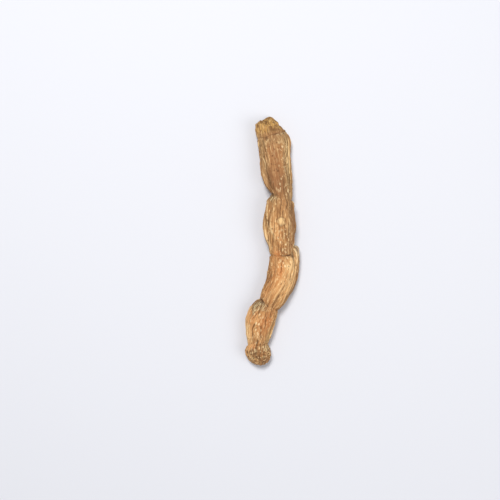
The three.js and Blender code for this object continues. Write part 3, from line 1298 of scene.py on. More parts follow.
PATCHES: dict[Tint, tuple[Patch, ...]] = {
    Tint.UMBER: (
        Patch(22.0, 1.65, 14.0, 0.6, 1.0),
        Patch(6.5, 0.7, 4.0, 0.9, 1.0),
        Patch(20.0, 2.7, 13.0, 0.5, 0.6),
        Patch(29.5, 1.5, 4.5, 1.2, 0.4),
        Patch(44.0, 0.4, 12.0, 0.5, 1.0),
        Patch(56.5, 1.5, 2.0, 1.0, 0.4),
        Patch(81.0, 2.4, 2.6, 0.7, 0.7),
        Patch(99.0, 1.2, 3.4, 1.6, 0.15),
        Patch(86.5, 1.35, 6.0, 0.45, 0.35),
        Patch(60.0, -1.5, 30.0, 0.9, 0.4),
    ),
    Tint.BLUSH: (
        Patch(21.0, 1.65, 10.0, 0.5, 0.6),
        Patch(50.0, 1.75, 5.0, 0.3, 0.55),
        Patch(57.0, 2.05, 1.6, 0.3, 1.0),
        Patch(63.5, 1.75, 3.0, 0.22, 0.7),
        Patch(85.5, 0.9, 4.5, 0.6, 0.8),
        Patch(68.0, 1.9, 9.0, 0.7, 0.5),
        Patch(87.5, 2.2, 7.0, 1.0, 0.7),
        Patch(84.8, 2.75, 3.0, 0.4, 1.0),
        Patch(97.0, 2.1, 1.6, 0.35, 1.0),
        Patch(75.0, -1.8, 7.0, 0.9, 0.6),
        Patch(26.0, -1.2, 8.0, 0.8, 0.5),
    ),
    Tint.STRAW: (
        Patch(13.5, 0.75, 5.0, 0.22, 0.9),
        Patch(23.0, 2.45, 10.0, 0.28, 0.6),
        Patch(44.0, 1.5, 4.0, 0.35, 0.45),
        Patch(49.0, 2.7, 6.0, 0.3, 0.9),
        Patch(47.5, 2.08, 3.4, 0.12, 0.4),
        Patch(63.8, 1.1, 4.5, 0.4, 0.8),
        Patch(66.0, 0.55, 8.0, 0.4, 0.4),
        Patch(73.0, 1.3, 4.0, 0.6, 0.65),
        # Painted highlight: the upper left of the fourth internode lighter, where the light falls.
        Patch(89.0, 2.7, 7.0, 0.6, 0.75),
        Patch(93.0, 2.9, 4.0, 0.5, 0.9),
        Patch(88.0, 1.95, 6.0, 0.18, 0.7),
        Patch(101.5, 2.4, 2.6, 0.7, 0.9),
        Patch(98.5, 2.0, 1.6, 0.5, 0.4),
        Patch(47.0, -1.5, 6.0, 0.8, 0.5),
    ),
    Tint.GREY: (
        Patch(4.0, 0.2, 4.0, 1.0, 1.0),
        Patch(30.0, 0.5, 9.0, 0.5, 0.8),
        Patch(10.5, 1.4, 2.2, 1.2, 0.9),
        Patch(40.0, 0.35, 9.0, 0.45, 0.8),
        Patch(81.2, 2.5, 2.0, 0.5, 1.0),
        Patch(36.0, 2.0, 2.4, 0.5, 0.5),
        Patch(94.5, 0.7, 3.0, 0.5, 0.5),
        Patch(66.0, -2.6, 9.0, 0.8, 0.6),
        Patch(19.0, 2.5, 13.0, 0.45, 1.0),
        Patch(20.0, 0.6, 13.0, 0.5, 1.0),
        Patch(88.0, 0.5, 8.0, 0.35, 0.9),
    ),
    Tint.SPECK: (
        Patch(18.0, 0.95, 8.0, 0.4, 0.8),
        Patch(30.0, 1.1, 4.0, 0.6, 0.7),
        Patch(52.0, 1.35, 5.0, 0.6, 0.9),
        Patch(63.0, 1.4, 5.0, 0.6, 0.8),
        Patch(88.0, 2.0, 7.0, 0.5, 1.0),
        Patch(101.0, 1.4, 4.0, 1.5, 0.9),
    ),
    # Dark spots; those at the second ring's notch, beside the leaf scale and in the knob's creases
    # are painted shade.
    Tint.DARK_SPOT_AND_SHADE: (
        Patch(8.9, 2.0, 1.0, 0.12, 1.0),
        Patch(34.6, 2.45, 0.8, 0.35, 1.0),
        Patch(33.6, 1.8, 0.5, 0.3, 0.7),
        Patch(58.8, 0.55, 0.5, 0.25, 0.9),
        Patch(79.7, 2.3, 0.7, 0.45, 0.9),
        Patch(98.6, 2.3, 0.7, 0.1, 0.8),
        Patch(99.6, 1.5, 1.0, 0.08, 0.8),
        Patch(101.2, 1.9, 0.4, 0.2, 0.7),
        Patch(103.6, 1.3, 0.6, 0.6, 0.9),
        Patch(102.6, 0.8, 0.8, 0.14, 0.8),
    ),
}


def to_mesh(
    name: str, points: Array, faces: list[list[int]], marks: dict[str, Array]
) -> bpy.types.Object:
    """Makes a smooth-shaded object at the origin.

    Args:
        name: the piece's name.
        points: points in millimetres, one row each.
        faces: each face's points, in order, seen from outside.
        marks: values for each point, one or three a point, kept as attributes.

    Returns:
        The object, linked to the scene.
    """
    mesh = bpy.data.meshes.new(name)
    mesh.from_pydata((points * MM).tolist(), [], faces)
    for label, values in marks.items():
        kind, slot = ("FLOAT_VECTOR", "vector") if values.ndim == 2 else ("FLOAT", "value")
        attribute = mesh.attributes.new(label, kind, "POINT")
        attribute.data.foreach_set(slot, values.astype(np.float32).ravel())
    mesh.polygons.foreach_set("use_smooth", np.ones(len(mesh.polygons), dtype=bool))
    mesh.update()
    made = bpy.data.objects.new(name, mesh)
    bpy.context.scene.collection.objects.link(made)
    return made


def closed_grid(rows: int, columns: int) -> list[list[int]]:
    """Lists the faces of a grid that closes round its columns and at both poles.

    Args:
        rows: rows of points, the two poles among them; a pole is one point.
        columns: points in each of the other rows.

    Returns:
        The faces, numbered pole first, then row by row, then the other pole.
    """
    last = 1 + (rows - 2) * columns
    here = np.arange(columns)
    following = (here + 1) % columns
    top = np.stack([np.zeros(columns, int), 1 + here, 1 + following], 1)[:, [0, 2, 1]]
    starts = 1 + columns * np.arange(rows - 3)[:, None]
    quads = np.stack(
        [
            starts + here,
            starts + following,
            starts + columns + following,
            starts + columns + here,
        ],
        -1,
    ).reshape(-1, 4)
    foot = last - columns
    bottom = np.stack([foot + here, foot + following, np.full(columns, last)], 1)
    return top.tolist() + quads.tolist() + bottom.tolist()


@dataclass(frozen=True)
class SkinMap:
    """Says what each spot of the skin is, as values from 0 to 1 for the finish to colour.

    The maps of relief have the value level where the skin is level, and rise or fall
    from there by a gain times the height in millimetres: the finish paints shade where
    they are low, and highlights where the ridges and wrinkles are high. The knob's
    cracks are drawn by dryness, and twice that on its crack_shade_side, as painted shade in
    them. A leaf scar's length varies between least_reach and more_reach on top, and
    torn tissue shows on the side by torn_side at the break.
    """

    level: float = 0.5
    lump_share: float = 0.3
    crack_shade: float = 0.24
    crack_shade_side: float = 0.5
    crack_shade_window: float = 1.1
    cracks_from: tuple[float, float] = (96.2, 98.6)
    furrow_share: float = 1.8
    ridge_gain: float = 0.5
    wrinkle_gain: float = 1.5
    shred_gain: float = 0.6
    gap_shade: float = 1.2
    ragged: RoundNoise = RoundNoise(31, 40, 77)
    least_reach: float = 0.55
    more_reach: float = 0.9
    scar_window: float = 2.2
    torn_side: float = 0.75
    torn_fade: tuple[float, float] = (5.5, 8.4)
    knob_from: tuple[float, float] = (95.8, 99.5)

    def ring_marks(self, stem: Stem, below: Array, angle: Array) -> tuple[Array, Array]:
        """Maps the rings.

        Args:
            stem: the stem that they are on.
            below: growth lines.
            angle: angles round the stem.

        Returns:
            The strengths of their dark lines, with painted shade in the groove beside the leaf
            scale, and of the leaf scars with ragged ends.
        """
        line, band = np.zeros_like(below), np.zeros_like(below)
        ragged = self.least_reach + self.more_reach * self.ragged.at(angle, below)
        for ring in stem.rings:
            line = np.maximum(line, ring.line(below, angle))
            reach = ring.below + (below - ring.below) * ragged
            leaf_side = around(angle, ring.leaf_at, self.scar_window * ring.window)
            band = np.maximum(band, ring.band(reach, angle) * leaf_side)
        # The groove beside the leaf scale is darkened with the ring lines, as painted shade.
        return np.maximum(line, self.gap_shade * stem.scale.gap(below, angle)), band

    def values(
        self,
        skin: "RhizomeSkin",
        below: Array,
        angle: Array,
        face: float,
        lined: Array,
        straight: Array,
    ) -> dict[str, Array]:
        """Maps a part of the skin.

        Args:
            skin: the skin.
            below: growth lines.
            angle: angles round the stem.
            face: 1 on the broken face, 0 elsewhere.
            lined: how much of the lengthwise lines is left there.
            straight: the straightened stem's coordinates, in millimetres.

        Returns:
            One value a spot for each name, and the coordinates.
        """
        stem, wrinkles = skin.stem, skin.wrinkles
        relief = stem.knob.relief
        _, rims, eyes = skin.scars.mark(stem, below, angle)
        lumps = self.lump_share * (1 - lined) * relief.lumps(straight)
        # Painted shade in the knob's cracks, stronger round one side.
        crack_shading = self.crack_shade + self.crack_shade * around(angle, self.crack_shade_side, self.crack_shade_window)
        cracks = crack_shading * rise(*self.cracks_from, below) * relief.cracks(straight)
        furrows = self.furrow_share * stem.creased(below, angle)
        drawn = lined * (stem.ridged(below, angle) - furrows)
        fine = lined * wrinkles.height(stem, below, angle)
        line, band = self.ring_marks(stem, below, angle)
        torn_side = self.torn_side * (1 - rise(*self.torn_fade, below))
        side, level = 1 - face, self.level
        shreds = self.shred_gain * wrinkles.shreds(angle, below)
        marks = {
            "ridge": side * np.clip(level + self.ridge_gain * drawn + lumps, 0, 1),
            "wrinkle": side * np.clip(level + self.wrinkle_gain * fine + lumps - cracks, 0, 1),
            "slit": side * lined * wrinkles.slits(stem, below, angle),
            "rib": side * lined * wrinkles.ribs(stem, below, angle),
            "ring_line_and_gap_shade": side * np.clip(line, 0, 1),
            "leaf_scar": side * band,
            "scar_rim": side * rims,
            "scar_eye": side * eyes,
            "broken": np.maximum(face, torn_side),
            "oval": side * skin.oval.map(below, angle),
            "knob_end": rise(*self.knob_from, below),
            "torn": side * np.clip(level + shreds, 0, 1),
            "scale_edge": side * stem.scale.bleached(below, angle),
        }
        for tint, patches in PATCHES.items():
            marks[tint.value] = np.clip(sum(p.cover(below, angle) for p in patches), 0, 1)
        marks["straight"] = straight
        return marks


@dataclass
class RhizomeSkin:
    """The whole rhizome as one closed skin, from the broken face to the knob's tip."""

    stem: Stem = field(default_factory=Stem)
    wrinkles: Wrinkles = field(default_factory=Wrinkles)
    scars: RootScars = field(default_factory=RootScars)
    oval: OvalScar = field(default_factory=OvalScar)
    skin_map: SkinMap = field(default_factory=SkinMap)
    columns: int = 272
    face_rows: int = 22
    knob_rows: int = 34
    side_rows: tuple[int, ...] = (14, 80, 74, 64, 54, 14)
    crowding: float = 0.5

    def side_lines(self) -> Array:
        """Spreads growth lines from the break's rim to the knob.

        Returns:
            Their places: even steps between two rings, mixed with the steps of a cosine,
            so that they lie closer together near the rings.
        """
        stem = self.stem
        stops = [stem.broken.mean] + [ring.below for ring in stem.rings] + [stem.knob.start]
        parts = []
        for k, count in enumerate(self.side_rows):
            t = np.arange(count) / count
            crowded = t + self.crowding * ((1 - np.cos(np.pi * t)) / 2 - t)
            parts.append(stops[k] + (stops[k + 1] - stops[k]) * crowded)
        return np.concatenate(parts)

    def extra(self, below: Array, angle: Array) -> Array:
        """Gives all the fine heights laid over the stem's relief.

        Args:
            below: growth lines.
            angle: angles round the stem.

        Returns:
            The sum of root scars, wrinkles, lumps, the oval scar and frayed stumps,
            in millimetres.
        """
        height, _, _ = self.scars.mark(self.stem, below, angle)
        height = height + self.wrinkles.height(self.stem, below, angle)
        height = height + self.wrinkles.lumps(below, angle)
        height = height + self.oval.height(below, angle)
        return height + self.wrinkles.frayed(self.stem, below, angle)

    def face_points(self, share: Array, angle: Array) -> Array:
        """Works out the broken face: straight from its middle to the rim, then roughened.

        Args:
            share: 0 at the middle, 1 at the rim.
            angle: angles round the stem.

        Returns:
            Points, in millimetres.
        """
        broken = self.stem.broken
        rim_line = np.full_like(angle, broken.mean)
        rim = self.stem.side(rim_line, angle, np.ones_like(angle), self.extra(rim_line, angle))
        point, along, _, up = self.stem.axis.frames(np.full_like(angle, broken.centre_below))
        centre = point + up * broken.centre_up
        fade = np.sin(np.pi * share)
        swing = 2 * broken.rough.at(angle, broken.rough_reach * share) - 1
        rough = broken.roughness * fade * swing
        spread = centre + (rim - centre) * share[..., None]
        torn = broken.tissue.height(spread[..., 0], spread[..., 2])
        inward = rise(0.0, broken.whole_rim, 1 - share)
        return spread + along * (rough - torn * inward)[..., None]

    def knob_points(self, share: Array, angle: Array) -> Array:
        """Works out the knob: the section shrinks as a quarter circle to its tip.

        Args:
            share: 0 where the knob starts, 1 at its tip.
            angle: angles round the stem.

        Returns:
            Points, in millimetres.
        """
        knob = self.stem.knob
        swing = share * np.pi / 2
        below = knob.below(share)
        dents = 2 * knob.denting.at(angle, share * knob.dent_reach) - 1
        dents = knob.dents * dents * np.sin(2 * swing)
        size = np.abs(np.cos(swing)) ** knob.roundness
        lined = knob.lined(share)
        bare = self.stem.relief(below, angle)
        extra = lined * self.extra(below, angle) - (1 - lined) * bare
        lumps = knob.relief.lumps(knob.spots(share, angle))
        extra = extra + rise(*knob.rough_from, share) * lumps
        point = self.stem.side(below, angle, size, extra)
        _, along, right, _ = self.stem.axis.frames(np.full_like(angle, knob.start))
        outward = dents + rise(*knob.tip_from, share) * lumps
        bend = knob.tip_across * (1 - np.cos(swing))
        return point + along * outward[..., None] + right * bend[..., None]

    def build_face(self, angles: Array) -> tuple[Array, dict[str, Array]]:
        """Builds the rows of the broken face.

        Args:
            angles: the angles of the columns.

        Returns:
            Points and marks, from the face's middle to just inside its rim.
        """
        broken, axis = self.stem.broken, self.stem.axis
        shares = np.arange(self.face_rows) / self.face_rows
        share, angle = np.meshgrid(shares, angles, indexing="ij")
        points = self.face_points(share, angle)
        off = points - np.array([axis.x[0], axis.top_y, axis.z[0]])
        straight = np.stack([off[..., 0], off[..., 2], -off[..., 1]], -1)
        lines = broken.mean * share
        marks = self.skin_map.values(self, lines, angle, 1.0, np.ones_like(share), straight)
        torn = broken.tissue.height(points[..., 0], points[..., 2])
        marks["torn"] = np.clip(self.skin_map.level - torn, 0, 1)
        return points, marks

    def build_side(self, angles: Array) -> tuple[Array, dict[str, Array]]:
        """Builds the rows of the side.

        Args:
            angles: the angles of the columns.

        Returns:
            Points and marks, from the rim of the break to where the knob starts.
        """
        below, angle = np.meshgrid(self.side_lines(), angles, indexing="ij")
        whole = np.ones_like(below)
        points = self.stem.side(below, angle, whole, self.extra(below, angle))
        across, up = MEAN_RADIUS * np.cos(angle), MEAN_RADIUS * np.sin(angle)
        straight = np.stack([across, up, below], -1)
        return points, self.skin_map.values(self, below, angle, 0.0, whole, straight)

    def build_knob(self, angles: Array) -> tuple[Array, dict[str, Array]]:
        """Builds the rows of the knob.

        Args:
            angles: the angles of the columns.

        Returns:
            Points and marks, from where the knob starts to its tip.
        """
        knob = self.stem.knob
        shares = np.arange(self.knob_rows + 1) / self.knob_rows
        share, angle = np.meshgrid(shares, angles, indexing="ij")
        spots, lined = knob.spots(share, angle), knob.lined(share)
        marks = self.skin_map.values(self, knob.below(share), angle, 0.0, lined, spots)
        return self.knob_points(share, angle), marks

    def build(self) -> bpy.types.Object:
        """Builds the skin.

        Returns:
            The piece, closed at both poles, and flat where it would sink into the floor.
        """
        angles = 2 * np.pi * np.arange(self.columns) / self.columns
        parts = [self.build_face(angles), self.build_side(angles), self.build_knob(angles)]
        points = np.concatenate([part[0] for part in parts])
        points[..., 2] = np.maximum(points[..., 2], 0)
        marks = {
            name: self.with_poles(np.concatenate([part[1][name] for part in parts]))
            for name in parts[1][1]
        }
        faces = closed_grid(len(points), self.columns)
        piece = to_mesh("rhizome_skin", self.with_poles(points), faces, marks)
        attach(piece, BODY)
        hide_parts(NODE)
        LOG.info("%s: %d points, %d faces", piece.name, len(piece.data.vertices), len(faces))
        return piece

    @staticmethod
    def with_poles(values: Array) -> Array:
        """Flattens a grid of values, with its first and its last row as one point each."""
        inner = values[1:-1].reshape(-1, *values.shape[2:])
        return np.concatenate([values[0].mean(0)[None], inner, values[-1].mean(0)[None]])


def linear(colour: str) -> tuple[float, float, float, float]:
    """Turns a hex colour as seen on a screen into the linear values that nodes take.

    Args:
        colour: a # and six hexadecimal digits, in sRGB.

    Returns:
        Red, green, blue and 1: each a 12.92th in the dark, and a power of 2.4 above.
    """
    parts = (int(colour[k : k + 2], 16) / 255 for k in (1, 3, 5))
    r, g, b = (c / 12.92 if c <= 0.04045 else ((c + 0.055) / 1.055) ** 2.4 for c in parts)
    return r, g, b, 1.0


class NodeSheet:
    """A material's node tree, with one way to add a node."""

    def __init__(self, name: str) -> None:
        """Makes an empty material.

        Args:
            name: the material's name.
        """
        self.material = bpy.data.materials.new(name)
        self.material.use_nodes = True
        self.tree = self.material.node_tree
        self.tree.nodes.clear()

    def add(
        self, kind: str, inputs: dict[int | str, object], out: int | str = 0, **settings: object
    ) -> object:
        """Adds a node.

        Args:
            kind: the node's type, without the ShaderNode in front.
            inputs: an output to link, or a value to set, for each input.
            out: which of the node's outputs is wanted.
            settings: the node's own properties.

        Returns:
            That output, or None if the node has no outputs.
        """
        node = self.tree.nodes.new("ShaderNode" + kind)
        for name, value in settings.items():
            setattr(node, name, value)
        for name, value in inputs.items():
            if isinstance(value, bpy.types.NodeSocket):
                self.tree.links.new(value, node.inputs[name])
            else:
                node.inputs[name].default_value = value
        return node.outputs[out] if node.outputs else None


@dataclass(frozen=True)
class Streaks:
    """A pattern of soft streaks: the size of its cells in millimetres, and finer layers.

    detail is how many finer layers it has, each weaker than the one before by fall.
    """

    across: float
    along: float
    detail: float
    fall: float = 0.6

    def draw(self, sheet: NodeSheet, place: object) -> object:
        """Adds the pattern, from 0 to 1.

        Args:
            sheet: the material.
            place: the straightened stem's coordinates, in millimetres.

        Returns:
            The pattern.
        """
        scale = (1 / self.across, 1 / self.across, 1 / self.along)
        spot = sheet.add("Mapping", {"Vector": place, "Scale": scale})
        looks = {"Vector": spot, "Scale": 1.0, "Detail": self.detail, "Roughness": self.fall}
        return sheet.add("TexNoise", looks, "Fac")


@dataclass(frozen=True)
class Flecks:
    """A scatter of uneven flecks: the size of its cells in millimetres, and how many hold one.

    A fleck's radius is least cells or up to more on top, and its edge is edge cells
    wide. The grid is bent by a noise of bend_scale cells a millimetre, as far as bend.
    """

    across: float
    along: float
    share: float
    least: float
    more: float = 0.22
    edge: float = 0.1
    bend: tuple[float, float, float] = (0.9, 0.9, 1.2)
    bend_scale: float = 1.4
    bend_detail: float = 2.0

    def draw(self, sheet: NodeSheet, place: object) -> object:
        """Adds the scatter.

        Each fleck lies round a point of a bent grid, and has a chance radius in cells.

        Args:
            sheet: the material.
            place: the straightened stem's coordinates, in millimetres.

        Returns:
            1 on a fleck, 0 off it.
        """
        scale = (1 / self.across, 1 / self.across, 1 / self.along)
        looks = {"Vector": place, "Scale": self.bend_scale, "Detail": self.bend_detail}
        bend = sheet.add("TexNoise", looks, "Color")
        parts = {0: bend, 1: self.bend, 2: place}
        bent = sheet.add("VectorMath", parts, operation="MULTIPLY_ADD")
        spot = sheet.add("Mapping", {"Vector": bent, "Scale": scale})
        chance = sheet.add("TexVoronoi", {"Vector": spot, "Scale": 1.0}, "Color")
        distance = chance.node.outputs["Distance"]
        kept = sheet.add("SeparateColor", {"Color": chance}, "Red")
        grown = kept.node.outputs["Green"]
        sizes = {"To Min": self.least, "To Max": self.least + self.more}
        radius = sheet.add("MapRange", {"Value": grown, **sizes})
        inside = sheet.add("Math", {0: radius, 1: distance}, operation="SUBTRACT")
        fleck = sheet.add("MapRange", {"Value": inside, "From Max": self.edge})
        there = sheet.add("Math", {0: kept, 1: self.share}, operation="LESS_THAN")
        return sheet.add("Math", {0: fleck, 1: there}, operation="MULTIPLY")


# A pixel of the photograph is 0.42 mm, and single fibres are 0.02 to 0.05 mm thick. So
# threads stand for bundles of them, and are drawn about as wide as a pixel to show.
PATTERNS: dict[str, Streaks | Flecks] = {
    # Stretches of skin that dried lighter or darker, about 3 mm wide.
    "broad": Streaks(2.9, 17.0, 4.0),
    # Strands of the cork, about half a millimetre wide.
    "streak": Streaks(0.67, 5.0, 4.0),
    # Bundles of fibres that show through it.
    "thread": Streaks(0.38, 2.4, 3.0),
    # The rows of dead cells, each some 0.05 mm long: drawn coarser, so that they show.
    "grain": Streaks(0.14, 0.33, 3.0),
    # Scales of cork that have lifted or come off.
    "pale_flecks": Flecks(0.59, 2.0, 0.5, 0.16),
    "beads": Flecks(0.87, 1.67, 0.7, 0.24),
    "dark_flecks": Flecks(0.67, 1.43, 0.4, 0.16),
}

TAN = "#b98552"
BROWN = "#8f6138"
ORANGE = "#c97b41"
STRAW = "#dcae74"
CREAM = "#efce98"
BEAD = "#f2d7a6"
WAX = "#e6c088"
# Dark tissue of threads, flecks and outlines, and painted shade in furrows, slits, cracks and torn
# hollows.
DARK_TISSUE_AND_SHADE = "#5e3f24"
INK = "#4a2f1a"
OLIVE = "#a18a5f"
ASH = "#d5bf93"
PALE_ASH = "#bba88c"
SCAR_RIM = "#cfae7c"
SCAR_EYE = "#6b4a2c"
UMBER = "#835a3a"
SHADE = "#6f5a3c"
OCHRE = "#c9994f"
FIBRE = "#e8c482"
BARK = "#7c5a36"


@dataclass(frozen=True)
class Coat:
    """A colour laid over those before it, where one of the skin's values is in a range.

    It covers nothing where the value is at start, and share of the skin where it is at
    full. Each hold is one more value, with the ends of a range between which it lets
    the coat through.
    """

    colour: str
    value: str
    start: float = 0.0
    full: float = 1.0
    share: float = 1.0
    holds: tuple[tuple[str, float, float], ...] = ()


SKIN_COATS = (
    # How light the skin is, then what its patches do to it.
    Coat(TAN, "broad", 0.3, 0.58),
    Coat(ORANGE, "blush", share=0.8),
    Coat(STRAW, "straw", share=0.6),
    Coat(OLIVE, "grey", share=0.6),
    # Strands and fibres.
    Coat(STRAW, "streak", 0.52, 0.66, 0.55, (("umber", 1.5, 0.0),)),
    Coat(BROWN, "streak", 0.46, 0.34, 0.65, (("blush", 1.4, 0.0),)),
    Coat(CREAM, "thread", 0.56, 0.68, 0.7),
    Coat(DARK_TISSUE_AND_SHADE, "thread", 0.45, 0.33, 0.6),
    Coat(UMBER, "umber", share=0.74),
    # Painted shade in furrows, slits and cracks, painted highlights on crests; pale ribs.
    Coat(DARK_TISSUE_AND_SHADE, "ridge", 0.35, 0.0, 0.34),
    Coat(DARK_TISSUE_AND_SHADE, "ridge", 0.1, 0.0, 0.4),
    Coat(CREAM, "ridge", 0.72, 1.0, 0.4),
    Coat(DARK_TISSUE_AND_SHADE, "wrinkle", 0.4, 0.05, 0.62),
    Coat(STRAW, "wrinkle", 0.66, 1.0, 0.42),
    Coat(CREAM, "wrinkle", 0.55, 0.9, 0.42, (("straw", 0.2, 0.8),)),
    Coat(DARK_TISSUE_AND_SHADE, "wrinkle", 0.42, 0.2, 0.5, (("straw", 0.2, 0.8),)),
    Coat(DARK_TISSUE_AND_SHADE, "wrinkle", 0.36, 0.1, 0.3, (("knob_end", 0.0, 1.0),)),
    Coat(CREAM, "rib", 0.3, 0.9, 0.65, (("streak", 0.38, 0.55), ("blush", 0.9, 0.0))),
    Coat(DARK_TISSUE_AND_SHADE, "slit", 0.25, 0.9, 0.7),
    # The leaf scars: dark tissue with pale strands. Then the scale's worn edge.
    Coat(SHADE, "leaf_scar", 0.1, 0.9, 0.8, (("streak", 0.62, 0.46),)),
    Coat(ASH, "thread", 0.5, 0.6, 0.8, (("leaf_scar", 0.1, 0.9),)),
    Coat(DARK_TISSUE_AND_SHADE, "thread", 0.46, 0.38, 0.6, (("leaf_scar", 0.1, 0.9),)),
    Coat(PALE_ASH, "scale_edge", share=0.62, holds=(("streak", 0.4, 0.58),)),
    Coat(SHADE, "thread", 0.5, 0.4, 0.55, (("scale_edge", 0.0, 1.0),)),
    Coat(CREAM, "pale_flecks", share=0.6, holds=(("umber", 1.1, 0.3),)),
    Coat(BEAD, "beads", share=0.85, holds=(("speck", 0.0, 1.0),)),
    Coat(DARK_TISSUE_AND_SHADE, "dark_flecks", share=0.7),
    Coat(DARK_TISSUE_AND_SHADE, "oval", 0.1, 0.24, 0.45),
    Coat(WAX, "oval", 0.22, 0.5, 0.85, (("thread", 0.34, 0.56),)),
    Coat(TAN, "oval", 0.6, 0.95, 0.4, (("thread", 0.66, 0.5),)),
)
TORN_COATS = (
    Coat(FIBRE, "thread", 0.48, 0.64),
    Coat(BARK, "umber", share=0.7),
    Coat(BARK, "streak", 0.54, 0.4, 0.8),
    # Painted shade in the hollows of the torn tissue.
    Coat(DARK_TISSUE_AND_SHADE, "torn", 0.5, 0.1, 0.75),
    Coat(DARK_TISSUE_AND_SHADE, "dark_flecks", share=0.8),
)
SCAR_COATS = (
    Coat(SCAR_RIM, "scar_rim", 0.3, 0.9, 0.6),
    Coat(SCAR_EYE, "scar_eye", 0.2, 0.9, 0.8),
    # Dark ring lines, and painted shade in the groove beside the leaf scale.
    Coat(INK, "ring_line_and_gap_shade", 0.15, 0.8, 0.85),
    # Dark spots, with painted shade in notches and creases.
    Coat(INK, "dark_spot_and_shade", 0.2, 0.9, 0.85, (("thread", 0.36, 0.56),)),
)


class SkinFinish:
    """Skin of an air-dried rhizome: thin, dead cork over fibrous, starchy tissue.

    Drying has drawn it into folds. It has neither wax nor varnish, so it is matt and
    shines weakly at most, and its fine rows of dead cells break up what shine there
    is. Light comes back warm from the tissue below. The shade in its furrows, slits,
    cracks and torn hollows, and the highlights on its crests, are painted into its
    colour. Dry plant tissue has an index of refraction of about 1.47; the pores in it
    take away part of its mirror-like share.
    """

    refraction = 1.47
    mirror_level = 0.3
    roughness = 0.82
    grain_depth = 0.12
    grain_strength = 0.5
    # Where torn tissue starts to show, where it is full, and how much it covers then.
    torn_cover = (0.1, 0.9, 0.85)

    def __init__(self) -> None:
        """Makes the empty material and draws the patterns."""
        self.sheet = NodeSheet("dried_rhizome_skin")
        place = self.sheet.add("Attribute", {}, "Vector", attribute_name="straight")
        self.values = {name: pattern.draw(self.sheet, place) for name, pattern in PATTERNS.items()}

    def value(self, name: str) -> object:
        """Gives a pattern, or else the skin's own attribute of that name."""
        if name not in self.values:
            self.values[name] = self.sheet.add("Attribute", {}, "Fac", attribute_name=name)
        return self.values[name]

    def coated(self, under: object, coats: tuple[Coat, ...]) -> object:
        """Lays coats over a colour.

        Args:
            under: the lowest colour, as an output or a linear value.
            coats: the coats, lowest first.

        Returns:
            The colour that shows.
        """
        for coat in coats:
            span = {"From Min": coat.start, "From Max": coat.full, "To Max": coat.share}
            cover = self.sheet.add("MapRange", {"Value": self.value(coat.value), **span})
            for name, shut, open_at in coat.holds:
                span = {"From Min": shut, "From Max": open_at}
                let_through = self.sheet.add("MapRange", {"Value": self.value(name), **span})
                cover = self.sheet.add("Math", {0: cover, 1: let_through}, operation="MULTIPLY")
            layers = {0: cover, 6: under, 7: linear(coat.colour)}
            under = self.sheet.add("Mix", layers, 2, data_type="RGBA")
        return under

    def build(self) -> bpy.types.Material:
        """Builds the material.

        Returns:
            It, reading the skin's own attributes in millimetres.
        """
        sheet = self.sheet
        skin = self.coated(linear(BROWN), SKIN_COATS)
        torn = self.coated(linear(OCHRE), TORN_COATS)
        span = dict(zip(("From Min", "From Max", "To Max"), self.torn_cover))
        opened = sheet.add("MapRange", {"Value": self.value("broken"), **span})
        colour = sheet.add("Mix", {0: opened, 6: skin, 7: torn}, 2, data_type="RGBA")
        colour = self.coated(colour, SCAR_COATS)
        relief = {"Height": self.value("grain"), "Distance": self.grain_depth * MM}
        relief["Strength"] = self.grain_strength
        looks = {
            "Base Color": colour,
            "Metallic": 0.0,
            "IOR": self.refraction,
            "Specular IOR Level": self.mirror_level,
            "Roughness": self.roughness,
            "Normal": sheet.add("Bump", relief),
        }
        sheet.add("OutputMaterial", {"Surface": sheet.add("BsdfPrincipled", looks)})
        return sheet.material


@dataclass(frozen=True)
class PaperFinish:
    """Plain pale paper for the floor: pressed, uncoated fibres, so it is quite matt."""

    colour: str = "#d4d5da"
    roughness: float = 0.9

    def build(self) -> bpy.types.Material:
        """Builds the material."""
        sheet = NodeSheet("pale_paper")
        looks = {"Base Color": linear(self.colour), "Roughness": self.roughness}
        sheet.add("OutputMaterial", {"Surface": sheet.add("BsdfPrincipled", looks)})
        return sheet.material


@dataclass(frozen=True)
class Lamp:
    """A square soft light that faces the origin: place and side in metres, power in watts."""

    name: str
    at: tuple[float, float, float]
    power: float
    side: float

    def hang(self) -> None:
        """Hangs the light."""
        light = bpy.data.lights.new(self.name, "AREA")
        light.energy = self.power
        light.size = self.side
        made = bpy.data.objects.new(self.name, light)
        made.location = self.at
        made.rotation_euler = made.location.to_track_quat("Z", "Y").to_euler()
        bpy.context.scene.collection.objects.link(made)


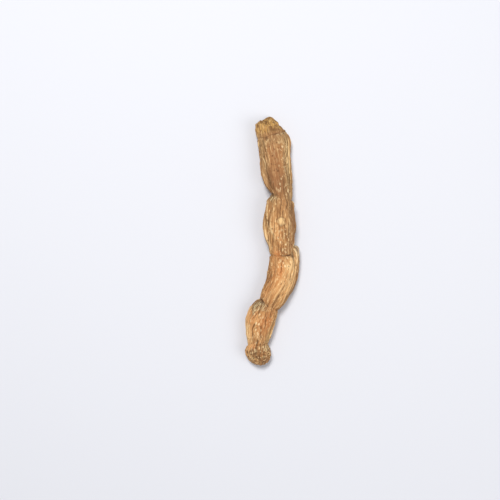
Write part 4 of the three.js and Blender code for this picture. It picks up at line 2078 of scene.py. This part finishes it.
@dataclass
class Studio:
    """The floor, the soft light and the camera, which looks straight down.

    A pixel covers pixel millimetres at outline_height, where the stem is widest. The
    rhizome's middle is at rhizome_at_px in the image, counted from its upper left.
    """

    half_floor: float = 600.0
    pixel: float = 0.42
    image_side: int = 500
    rhizome_at_px: tuple[float, float] = (272.5, 239.9)
    outline_height: float = 5.5
    lens: float = 50.0
    sensor: float = 36.0
    lamps: tuple[Lamp, ...] = (
        Lamp("key_light", (-0.12, 0.3, 0.72), 5.5, 0.22),
        Lamp("fill_light", (0.45, -0.2, 0.6), 1.9, 0.5),
    )
    room_colour: str = "#fbfbff"
    room_strength: float = 0.36

    def floor(self) -> None:
        """Lays a plain square floor under the rhizome."""
        h = self.half_floor
        corners = np.array([[-h, -h, 0], [h, -h, 0], [h, h, 0], [-h, h, 0]])
        made = to_mesh("floor", corners, [[0, 1, 2, 3]], {})
        made.data.materials.append(PaperFinish().build())

    def light(self) -> None:
        """Lights the rhizome softly, most of it from the upper left."""
        for lamp in self.lamps:
            lamp.hang()
        world = bpy.data.worlds.new("soft_room")
        world.use_nodes = True
        back = world.node_tree.nodes["Background"]
        back.inputs["Color"].default_value = linear(self.room_colour)
        back.inputs["Strength"].default_value = self.room_strength
        bpy.context.scene.world = world

    def camera(self) -> None:
        """Hangs the camera: its distance is the field's side times lens over sensor."""
        cam = bpy.data.cameras.new("camera")
        cam.lens = self.lens
        cam.sensor_width = self.sensor
        made = bpy.data.objects.new("camera", cam)
        distance = self.image_side * self.pixel * self.lens / self.sensor
        x = (self.image_side / 2 - self.rhizome_at_px[0]) * self.pixel
        y = (self.rhizome_at_px[1] - self.image_side / 2) * self.pixel
        made.location = (x * MM, y * MM, (self.outline_height + distance) * MM)
        bpy.context.scene.collection.objects.link(made)
        bpy.context.scene.camera = made

    def build(self) -> None:
        """Sets up the whole studio."""
        self.camera()
        self.floor()
        self.light()
        bpy.context.scene.view_settings.view_transform = "Standard"


def main() -> None:
    """Builds the rhizome and its studio."""
    logging.basicConfig(level=logging.INFO, format="%(name)s: %(message)s")
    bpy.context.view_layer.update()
    skin = RhizomeSkin().build()
    skin.data.materials.append(SkinFinish().build())
    Studio().build()


if __name__ == "__main__":
    main()
